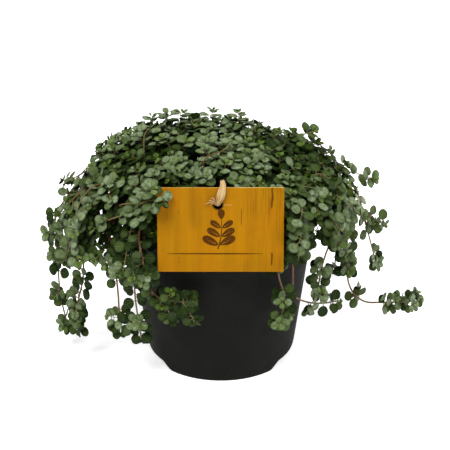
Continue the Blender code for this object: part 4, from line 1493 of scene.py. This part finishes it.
class Foliage:
    """Grows the whole plant: main stems, side shoots over the mound, then leaves tip first."""

    def __init__(self, settings):
        self.settings = settings
        self.rng = random.Random(settings.seed)
        self.crowd = Crowd()
        self.around = Surroundings()
        self.shoots = []
        self.stems = {}
        self.leaves = {}

    # stems

    def jitter(self, size):
        """A random offset of up to a size each way."""
        return Vector([self.rng.uniform(-size, size) for _ in range(3)])

    def add_shoot(self, group, points, radius, tip_radius, age, vigour=1.0, hanging=0):
        """Add a stem along points; radius and age run from its base to its tip. Hanging is the
        row of a runner, 0 on the mound and -1 on a twig with leaves at its tip only."""
        total = sum((far - near).length for near, far in zip(points, points[1:]))
        count = max(5, int(total / STEM_STEP))
        route = smooth_route(points, count)
        ageing = 3 if hanging > 0 else 1
        stem = []
        for index, point in enumerate(route):
            t = index / (count - 1)
            stem.append((point, radius + (tip_radius - radius) * t,
                         age + (TIP_AGE - age) * t ** ageing))
        self.stems.setdefault(group, []).append(stem)
        rng = self.rng
        glow = rng.uniform(0.6, 1.0) if rng.random() < 0.35 else rng.uniform(0, 0.3)
        shoot = Shoot(group, route, parallel_sides(route), vigour, glow, rng.uniform(0, math.pi),
                      hanging)
        self.shoots.append(shoot)
        return shoot

    def add_main_shoots(self):
        radius = self.settings.stem_radius
        routes = [("crown", crown_route(index), CROWN_TIP) for index in range(CROWN_SHOOTS)]
        routes.append(("crown", tied_route(), CROWN_TIP))
        routes += [("arching", arching_route(index), ARCHING_TIP)
                   for index in range(ARCHING_SHOOTS)]
        mains = [self.add_shoot(group, route, radius, tip, 1.0) for group, route, tip in routes]
        for group, (first, last) in RUNNER_GROUPS.items():
            for row in range(first, last + 1):
                route = trailing_route(*TRAILING_ROUTES[row - 1])
                mains.append(self.add_shoot("runners_" + group, route, radius * RUNNER_GIRTH,
                                            RUNNER_TIP, 1.0, hanging=row))
        return mains

    def skin_targets(self, count, depth, lowest_degrees):
        """Places evenly spread by the golden angle at a depth under the mound's skin, from its
        top down to an angle that is 90 degrees at the widest ring."""
        lowest = math.radians(lowest_degrees)
        steps = 400
        areas = [0.0]
        for step in range(steps):
            t = (step + 0.5) / steps * lowest
            ring = math.sin(t) * math.hypot(DOME_RADIUS * math.cos(t), DOME_RISE * math.sin(t))
            areas.append(areas[-1] + ring)
        targets = []
        step = 0
        for index in range(count):
            wanted = areas[-1] * (index + 0.5) / count
            while areas[step + 1] < wanted:
                step += 1
            t = (step + 0.5) / steps * lowest
            azimuth = math.degrees(index * GOLDEN_ANGLE)
            power = 2 / dome_power(azimuth)
            reach = dome_reach(azimuth) * math.sin(t) ** power
            rise = math.cos(t) ** power if t < math.pi / 2 else math.cos(t) * 1.35
            height = DOME_BASE + DOME_RISE * rise
            lumps = noise.noise(polar(azimuth, reach, height) * 38) * 5 * MM - depth
            lumps -= 2.5 * MM * max(0, -math.cos(math.radians(azimuth)))
            target = polar(azimuth, reach + lumps * math.sin(t), height + lumps * math.cos(t))
            target += self.jitter(1.6 * MM)
            target.z = min(target.z, MOUND_TOP)
            if in_mound(target):
                targets.append(target)
        return targets

    def parent_of(self, target, mains):
        """The main stem and the place on it that a side shoot to target would leave from."""
        best = None
        for shoot in mains:
            route = shoot.route
            for index in range(2, len(route) - 2, 2):
                place = route[index]
                if near_soil(place, 4 * MM):
                    continue
                away = target - place
                distance = away.length
                if distance < SIDE_SHOOT_LEAST or distance > SIDE_SHOOT_MOST:
                    continue
                cost = distance + TURNING_COST * (1 - heading_at(route, index).dot(away) / distance)
                if best is None or cost < best[0]:
                    best = (cost, shoot, index)
        return best

    def add_side_shoots(self, mains, targets):
        """One side shoot for each target on the mound's skin that no main shoot's tip serves."""
        tips = [shoot.route[-1] for shoot in mains]
        for target in targets:
            if (self.around.blocks(target, 3 * MM) or self.in_front_of_tag(target)
                    or past_front(target)):
                continue
            if min((target - tip).length for tip in tips) < SERVED_BY_TIP:
                continue
            found = self.parent_of(target, mains)
            if found is None:
                continue
            _, parent, index = found
            start = parent.route[index]
            forward = heading_at(parent.route, index)
            heading = (skin_facing(target) * 0.75 + (target - start).normalized() * 0.6
                       + self.jitter(0.25)).normalized()
            handle = (target - start).length * 0.42
            points = []
            for step in range(6):
                t = step / 5
                first = start + forward * (handle * t)
                last = target - heading * (handle * (1 - t))
                points.append(first.lerp(last, t * t * (3 - 2 * t)))
            if any(self.around.blocks(point, 0.6 * MM) for point in points[1:]):
                continue
            self.add_shoot(parent.group, points, 0.36 * MM, 0.2 * MM, 0.75,
                           self.rng.uniform(0.76, 1.10))

    def add_given_twigs(self, mains):
        """The twigs that stand out of the mound or lean over the tag's edges."""
        places = [(shoot.group, place) for shoot in mains for place in shoot.route[4:-2]]
        for points in GIVEN_TWIGS + OPEN_TWIGS:
            first, *rest = [Vector(point) * MM for point in points]
            group, start = min(places, key=lambda entry: (entry[1] - first).length)
            if points in GIVEN_TWIGS:
                self.add_shoot(group, [start, *rest], 0.34 * MM, 0.2 * MM, 0.6, 0.95)
            else:
                shoot = self.add_shoot(group, [start, *rest], 0.44 * MM, 0.32 * MM, 1.0, 0.95,
                                       hanging=-1)
                self.around.keep_open(shoot.route)

    def in_front_of_tag(self, point):
        """Whether a point would hide the tag's face; its edges may be covered a little."""
        local = self.around.to_tag @ point
        if local.y > 2 * MM or abs(local.z) > TAG_HEIGHT / 2 + 4 * MM:
            return False
        if local.x < 0.7 * (local.z - 9 * MM) - TAG_WIDTH / 2:
            return False
        return abs(local.x) < TAG_WIDTH / 2 + 1.2 * MM

    def add_twigs(self, runners):
        """Short twigs along the hanging stretch of each runner."""
        for shoot in runners:
            route = shoot.route
            step = (route[1] - route[0]).length
            side = 1
            hanging = [index for index in range(3, len(route) - 2)
                       if route[index].z < DOME_BASE + 6 * MM]
            for index in hanging[::2]:
                if self.rng.random() < missing_twigs(shoot.hanging, route[index].z):
                    continue
                from_tip = (len(route) - 1 - index) * step
                if self.bare(shoot, index, from_tip) or self.bare(shoot, index, from_tip - 4 * MM):
                    continue
                forward = heading_at(route, index)
                outward = Vector((route[index].x, route[index].y, 0)).normalized()
                across = forward.cross(outward).normalized() * side
                side = -side
                reach = self.rng.uniform(4.5, 9) * MM
                heading = (across * 0.8 + outward * self.rng.uniform(0.1, 0.7) + forward * 0.7
                           + self.jitter(0.2)).normalized()
                rise = UP * 0.5 - forward * 0.3
                points = [route[index] + heading * (reach * t) + rise * (reach * t * t * 0.5)
                          for t in (0, 0.33, 0.66, 1)]
                if any(self.around.blocks(point, 0.8 * MM) or self.in_front_of_tag(point)
                       for point in points[1:]):
                    continue
                self.add_shoot(shoot.group, points, 0.26 * MM, 0.17 * MM, 0.5,
                               self.rng.uniform(0.75, 1.0))

    def bare(self, shoot, index, from_tip):
        """Whether a stem has dropped its leaves at a distance from its tip."""
        if shoot.hanging < 0:
            return from_tip > 6 * MM
        if shoot.hanging in BARE_STRETCHES:
            return any(low * MM < from_tip < high * MM
                       for low, high in BARE_STRETCHES[shoot.hanging])
        route = shoot.route
        level = abs((route[index] - route[index - 1]).normalized().z) < 0.5
        leafy_end = (28 if level else 13) * MM
        if route[index].z > DOME_BASE - 6 * MM or from_tip < leafy_end:
            return False
        spacing = (20 + 2.4 * shoot.turn) * MM
        return math.sin(math.tau * (from_tip - leafy_end) / spacing) > 0.25

    # leaves

    def station(self, order):
        """Distance from a shoot's tip to its leaf pair of that order, the youngest being 0."""
        spread = min(order, YOUNG_PAIRS)
        near_tip = (0.25 * spread ** 2 + 0.75 * spread) * MM
        return near_tip + PAIR_SPACING * max(order - YOUNG_PAIRS, 0)

    def pair_place(self, shoot, order):
        """Place, forward and sideways directions and route point of a pair, None past the base."""
        wanted = self.station(order) * shoot.vigour
        route = shoot.route
        index = len(route) - 1
        while index > 0:
            step = (route[index] - route[index - 1]).length
            if wanted <= step:
                place = route[index].lerp(route[index - 1], wanted / step)
                forward = (route[index] - route[index - 1]).normalized()
                return place, forward, shoot.sides[index], index
            wanted -= step
            index -= 1
        return None

    def add_pair(self, shoot, order, keep_all):
        """Place the two leaves of a pair, each where it first fits in a few tries."""
        found = self.pair_place(shoot, order)
        if found is None or near_soil(found[0], 5 * MM):
            return
        place, forward, side, _ = found
        rng = self.rng
        youth = max(0.0, 1 - 0.45 * order) * shoot.glow
        grown = min(1.0, 0.38 + 0.25 * order) * shoot.vigour
        lean = PAIR_LEANS[min(order, YOUNG_PAIRS)]
        tip = 0.3 if shoot.hanging > 0 else 0.6
        look = (skin_facing(place) * min(1, 0.45 + 0.2 * order)
                + forward * max(0, tip - 0.2 * order)).normalized()
        turn = shoot.turn + order * math.pi / 2
        up_side = forward.cross(side)
        for sign in (1, -1):
            for attempt in range(TRIES):
                loose = 0.10 + 0.07 * attempt
                twist = turn + rng.uniform(-0.3, 0.3) * (1 + attempt * 0.6)
                across = (side * math.cos(twist) + up_side * math.sin(twist)) * sign
                away = across - look * (across.dot(look) * 0.8) + forward * lean
                away = (away + self.jitter(loose)).normalized()
                normal = look + self.jitter(loose + 0.12)
                normal = (normal - away * normal.dot(away)).normalized()
                size = self.settings.leaf_diameter * grown * rng.uniform(0.86, 1.08)
                size *= (0.95 if shoot.hanging else 1) * (1 - 0.05 * attempt)
                forced = keep_all and attempt >= TRIES - 2
                if self.place_leaf(shoot, place, away, normal, size, youth, forced):
                    break

    def place_leaf(self, shoot, start, away, normal, size, youth, forced):
        """Add a leaf where nothing is in its way; a forced one may cut deeper into others."""
        centre = start + away * (LEAF_CENTRE * size)
        radius = size * 0.5
        across = away.cross(normal)
        rim = [centre + (away * math.cos(angle) + across * math.sin(angle)) * radius
               for angle in (0, 1.57, 3.14, 4.71, 0.78, 2.36, 3.93, 5.5)]
        if any(self.around.blocks(point, LEAF_CLEARANCE) for point in [centre, *rim]):
            return False
        if self.in_front_of_tag(centre) or min(point.y for point in rim) < FRONT_MOST:
            return False
        if max(point.z for point in rim) > (LEFT_TOP if centre.x < LEFT_EDGE else TOP_MOST):
            return False
        if self.around.covers_open_stem(centre, radius):
            return False
        disc = radius * 0.92
        if self.crowd.crossing(centre, normal, disc) > (FORCED_CUT if forced else LEAST_CUT):
            return False
        self.crowd.add(centre, normal, disc)
        axes = Matrix((across, away, normal)).transposed().to_4x4()
        matrix = Matrix.Translation(start) @ axes @ Matrix.Scale(size, 4)
        shape = self.rng.randrange(len(LEAF_SHAPES))
        tint = 0.80 + 0.4 * noise.noise(centre * 55) + self.rng.uniform(-0.28, 0.28)
        # Painted shade: darker deeper under the mound's skin and, on hanging runners, below the
        # mound.
        tint -= max(0.0, skin_depth(centre) - 3 * MM) / (9 * MM)
        tint -= HANGING_SHADE if shoot.hanging > 0 and centre.z < DOME_BASE else 0
        # Painted light and shade at the listed places.
        for middle, reach, change in PAINTED_LIGHT_AND_SHADE:
            tint += change * max(0, 1 - (centre / MM - Vector(middle)).length / reach)
        self.leaves.setdefault(shoot.group, []).append(
            Leaf(shape, matrix, min(youth, 1), tint, centre))
        return True

    def add_leaves(self):
        """Tips first, so that every rosette is whole, then the older pairs where there is room."""
        order_of_growth = sorted(self.shoots, key=lambda shoot: -shoot.route[-1].z)
        for order in range(YOUNG_PAIRS):
            for shoot in order_of_growth:
                self.add_pair(shoot, order, True)
        for shoot in order_of_growth:
            for order in range(YOUNG_PAIRS, OLDEST_PAIR):
                found = self.pair_place(shoot, order)
                if found is None:
                    break
                from_tip = self.station(order) * shoot.vigour
                bare = shoot.hanging and self.bare(shoot, found[3], from_tip)
                if bare or self.rng.random() < 0.06:
                    continue
                self.add_pair(shoot, order, False)

    def cover(self, centre):
        """How many leaves lie over a point, on the side that the mound's leaves face."""
        facing = skin_facing(centre)
        count = 0
        for other, _, radius in self.crowd.nearby(centre):
            above = (other - centre).dot(facing)
            if above < 0.9 * MM or above > 9 * MM:
                continue
            if (other - centre - facing * above).length < radius + 0.6 * MM:
                count += 1
        return count

    def shade_covered_leaves(self):
        """Lower the tint of what grows under other leaves, as painted shade; what the window
        reaches keeps its bloom.
        """
        for leaves in self.leaves.values():
            for index, leaf in enumerate(leaves):
                tint = leaf.tint - COVER_SHADE * self.cover(leaf.centre)
                leaves[index] = leaf._replace(tint=min(max(tint, 0), 1))

    def grow(self):
        settings = self.settings
        mains = self.add_main_shoots()
        self.add_given_twigs(mains)
        self.add_side_shoots(mains, self.skin_targets(settings.rosettes, 3.0 * MM, 98))
        for share, depth, lowest in INNER_LAYERS:
            targets = self.skin_targets(settings.inner_shoots // share, depth, lowest)
            self.add_side_shoots(mains, targets)
        self.add_twigs([shoot for shoot in mains if shoot.hanging > 0])
        self.add_leaves()
        self.shade_covered_leaves()


def all_leaves(leaves, templates):
    """All the leaves of a group in one bmesh, copied from the templates in small batches."""
    whole = bmesh.new()
    for first in range(0, len(leaves), LEAF_BATCH):
        bm = bmesh.new()
        bm.verts.layers.float.new("young")
        bm.verts.layers.float.new("tint")
        originals = []
        for template in templates:
            start = len(bm.verts), len(bm.edges), len(bm.faces)
            bm.from_mesh(template)
            originals.append([*list(bm.verts)[start[0]:], *list(bm.edges)[start[1]:],
                              *list(bm.faces)[start[2]:]])
        spent = list(bm.verts)
        young = bm.verts.layers.float["young"]
        tint = bm.verts.layers.float["tint"]
        for leaf in leaves[first:first + LEAF_BATCH]:
            made = bmesh.ops.duplicate(bm, geom=originals[leaf.shape])["geom"]
            corners = [item for item in made if isinstance(item, bmesh.types.BMVert)]
            bmesh.ops.transform(bm, matrix=leaf.place, verts=corners)
            for corner in corners:
                corner[young] = leaf.young
                corner[tint] = leaf.tint
        bmesh.ops.delete(bm, geom=spent, context="VERTS")
        batch = bpy.data.meshes.new("batch")
        bm.to_mesh(batch)
        bm.free()
        whole.from_mesh(batch)
        bpy.data.meshes.remove(batch)
    return whole


def all_stems(name, stems):
    """All the stems of a group as thin tapering tubes, with their age kept at each point."""
    curve = bpy.data.curves.new(name, "CURVE")
    curve.dimensions = "3D"
    curve.bevel_depth = MM
    curve.bevel_resolution = 1
    curve.use_fill_caps = True
    places = KDTree(sum(len(stem) for stem in stems))
    ages = []
    for stem in stems:
        spline = curve.splines.new("POLY")
        spline.points.add(len(stem) - 1)
        for target, (place, radius, age) in zip(spline.points, stem):
            target.co = (*place, 1)
            target.radius = radius / MM
            places.insert(place, len(ages))
            ages.append(age)
    places.balance()
    bm = curve_solid(name, curve)
    layer = bm.verts.layers.float.new("age")
    for corner in bm.verts:
        corner[layer] = ages[places.find(corner.co)[1]]
    return bm


def nodes_of(group):
    """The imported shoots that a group's leaves stand for."""
    if group in ("crown", "arching"):
        return sorted(name for name in frame["nodes"] if name.startswith(group + "_shoot"))
    first, last = RUNNER_GROUPS[group.removeprefix("runners_")]
    return [f"trailing_runner_{index:02d}" for index in range(first, last + 1)]


def make_foliage(settings, looks):
    """Grow the plant and show each group as one piece of leaves and one of stems."""
    plant = Foliage(settings)
    plant.grow()
    templates = [leaf_template(f"leaf_{index}", *shape) for index, shape in enumerate(LEAF_SHAPES)]
    blade_looks = [looks["leaf_upper"], looks["leaf_underside"], looks["stem"]]
    for group, stems in plant.stems.items():
        add_piece(group + "_leaves", all_leaves(plant.leaves[group], templates), 75,
                  blade_looks, nodes_of(group))
        add_piece(group + "_stems", all_stems(group + "_stems", stems), 60,
                  [looks["stem"]])
    for template in templates:
        bpy.data.meshes.remove(template)


# ------------ stage


def add_light(name, kind, place, power, **settings):
    """A light at a place that shines at the pot; a sun lights it evenly from that side."""
    light = bpy.data.lights.new(name, kind)
    light.energy = power
    for setting, value in settings.items():
        setattr(light, setting, value)
    made = show(name, light)
    made.location = place
    made.rotation_euler = (LIGHT_AIM[kind] - Vector(place)).to_track_quat("-Z", "Y").to_euler()


def make_stage(settings, looks):
    """Pale floor, even room light, soft boxes and the camera."""
    scene = bpy.context.scene
    scene.view_settings.view_transform = "Standard"
    world = bpy.data.worlds.new("soft_room")
    scene.world = world
    world.use_nodes = True
    graph = Graph(world.node_tree)
    room_light = graph.spread(graph.seen_directly(), settings.room_light, 1.0)
    background = world.node_tree.nodes["Background"].inputs
    background["Color"].default_value = (1, 1, 1, 1)
    graph.feed(background["Strength"], room_light)

    bm = bmesh.new()
    bmesh.ops.create_grid(bm, x_segments=8, y_segments=8, size=4)
    floor = show("floor", finished_mesh(bm, "floor"))
    floor.data.materials.append(looks["floor"])

    add_light("key", "SUN", (-0.45, -0.62, 1.3), settings.key_light, angle=math.radians(30))
    add_light("fill", "SUN", (0.55, 0.10, 1.1), settings.key_light * 0.28,
              angle=math.radians(80))
    add_light("side_box", "AREA", (0.9, 0.30, 0.25), 6.0, shape="RECTANGLE", size=0.18,
              size_y=0.6)

    lens = bpy.data.cameras.new("camera")
    lens.lens = settings.lens
    lens.sensor_width = 36
    camera = show("camera", lens)
    angle = settings.view_height
    backwards = Vector((0, -math.cos(angle), math.sin(angle)))
    camera.location = CAMERA_AIM + backwards * settings.view_distance
    camera.rotation_euler = (math.pi / 2 - angle, 0, 0)
    scene.camera = camera


# ------------ operators


def looks_of(scene):
    """The materials, made the first time they are asked for."""
    if not LOOKS:
        for make_group in (mottle_group, fibre_group, dust_group, blade_group):
            make_group()
        LOOKS.update({
            "pot": pot_material(scene.pilea_pot),
            "soil": soil_material(scene.pilea_soil),
            "wood": wood_material(scene.pilea_tag),
            "print": print_material(scene.pilea_tag),
            "raffia": raffia_material(scene.pilea_tag),
            "leaf_upper": leaf_material(scene.pilea_foliage, True),
            "leaf_underside": leaf_material(scene.pilea_foliage, False),
            "stem": stem_material(scene.pilea_foliage),
            "floor": floor_material(scene.pilea_stage),
        })
    return LOOKS


LOOKS = {}


class PILEA_OT_pot(bpy.types.Operator):
    """Make the moulded nursery pot with its rolled rim, drain holes and notched foot"""
    bl_idname = "pilea.pot"
    bl_label = "Nursery pot"

    def execute(self, context):
        make_pot(context.scene.pilea_pot, looks_of(context.scene))
        return {"FINISHED"}


class PILEA_OT_soil(bpy.types.Operator):
    """Make the peat in the pot and the loose crumbs on it"""
    bl_idname = "pilea.soil"
    bl_label = "Potting soil"

    def execute(self, context):
        looks = looks_of(context.scene)
        make_soil(looks)
        make_crumbs(context.scene.pilea_soil, looks)
        return {"FINISHED"}


class PILEA_OT_tag(bpy.types.Operator):
    """Make the wooden board and the print on its face"""
    bl_idname = "pilea.tag"
    bl_label = "Wooden tag"

    def execute(self, context):
        looks = looks_of(context.scene)
        make_tag(looks)
        make_tag_print(context.scene.pilea_tag, looks)
        return {"FINISHED"}


class PILEA_OT_raffia(bpy.types.Operator):
    """Make the raffia loop that holds the tag to a stem"""
    bl_idname = "pilea.raffia"
    bl_label = "Raffia loop"

    def execute(self, context):
        make_raffia(context.scene.pilea_tag, looks_of(context.scene))
        return {"FINISHED"}


class PILEA_OT_foliage(bpy.types.Operator):
    """Grow the stems and leaves of the mound and its trailing runners"""
    bl_idname = "pilea.foliage"
    bl_label = "Foliage"

    def execute(self, context):
        make_foliage(context.scene.pilea_foliage, looks_of(context.scene))
        return {"FINISHED"}


class PILEA_OT_stage(bpy.types.Operator):
    """Set the pale floor, the soft lights and the camera"""
    bl_idname = "pilea.stage"
    bl_label = "Stage"

    def execute(self, context):
        make_stage(context.scene.pilea_stage, looks_of(context.scene))
        return {"FINISHED"}


class PILEA_PT_panel(bpy.types.Panel):
    """Lists the pieces and their settings"""
    bl_idname = "PILEA_PT_panel"
    bl_label = "Potted pilea"
    bl_space_type = "VIEW_3D"
    bl_region_type = "UI"
    bl_category = "Pilea"

    def draw(self, context):
        for operator, settings in STEPS:
            box = self.layout.box()
            box.operator(operator.bl_idname)
            group = getattr(context.scene, settings)
            for name in group.bl_rna.properties.keys():
                if name not in ("rna_type", "name"):
                    box.prop(group, name)


SETTINGS = {
    "pilea_pot": PileaPotSettings,
    "pilea_soil": PileaSoilSettings,
    "pilea_tag": PileaTagSettings,
    "pilea_foliage": PileaFoliageSettings,
    "pilea_stage": PileaStageSettings,
}

# Each operator with the settings that its box in the panel shows, in the order they run.
STEPS = (
    (PILEA_OT_stage, "pilea_stage"),
    (PILEA_OT_pot, "pilea_pot"),
    (PILEA_OT_soil, "pilea_soil"),
    (PILEA_OT_tag, "pilea_tag"),
    (PILEA_OT_raffia, "pilea_tag"),
    (PILEA_OT_foliage, "pilea_foliage"),
)


def register():
    for name, settings in SETTINGS.items():
        bpy.utils.register_class(settings)
        setattr(bpy.types.Scene, name, bpy.props.PointerProperty(type=settings))
    for operator, _ in STEPS:
        bpy.utils.register_class(operator)
    bpy.utils.register_class(PILEA_PT_panel)


def unregister():
    bpy.utils.unregister_class(PILEA_PT_panel)
    for operator, _ in reversed(STEPS):
        bpy.utils.unregister_class(operator)
    for name, settings in SETTINGS.items():
        delattr(bpy.types.Scene, name)
        bpy.utils.unregister_class(settings)


def clear_leftovers():
    """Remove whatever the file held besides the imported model."""
    kept = set(frame["nodes"].values()) | set(frame["bodies"].values())
    for left in list(bpy.data.objects):
        if left not in kept:
            bpy.data.objects.remove(left)


def main():
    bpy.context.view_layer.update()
    clear_leftovers()
    register()
    bpy.ops.pilea.stage()
    bpy.ops.pilea.pot()
    bpy.ops.pilea.soil()
    bpy.ops.pilea.tag()
    bpy.ops.pilea.raffia()
    bpy.ops.pilea.foliage()


if __name__ == "__main__":
    main()
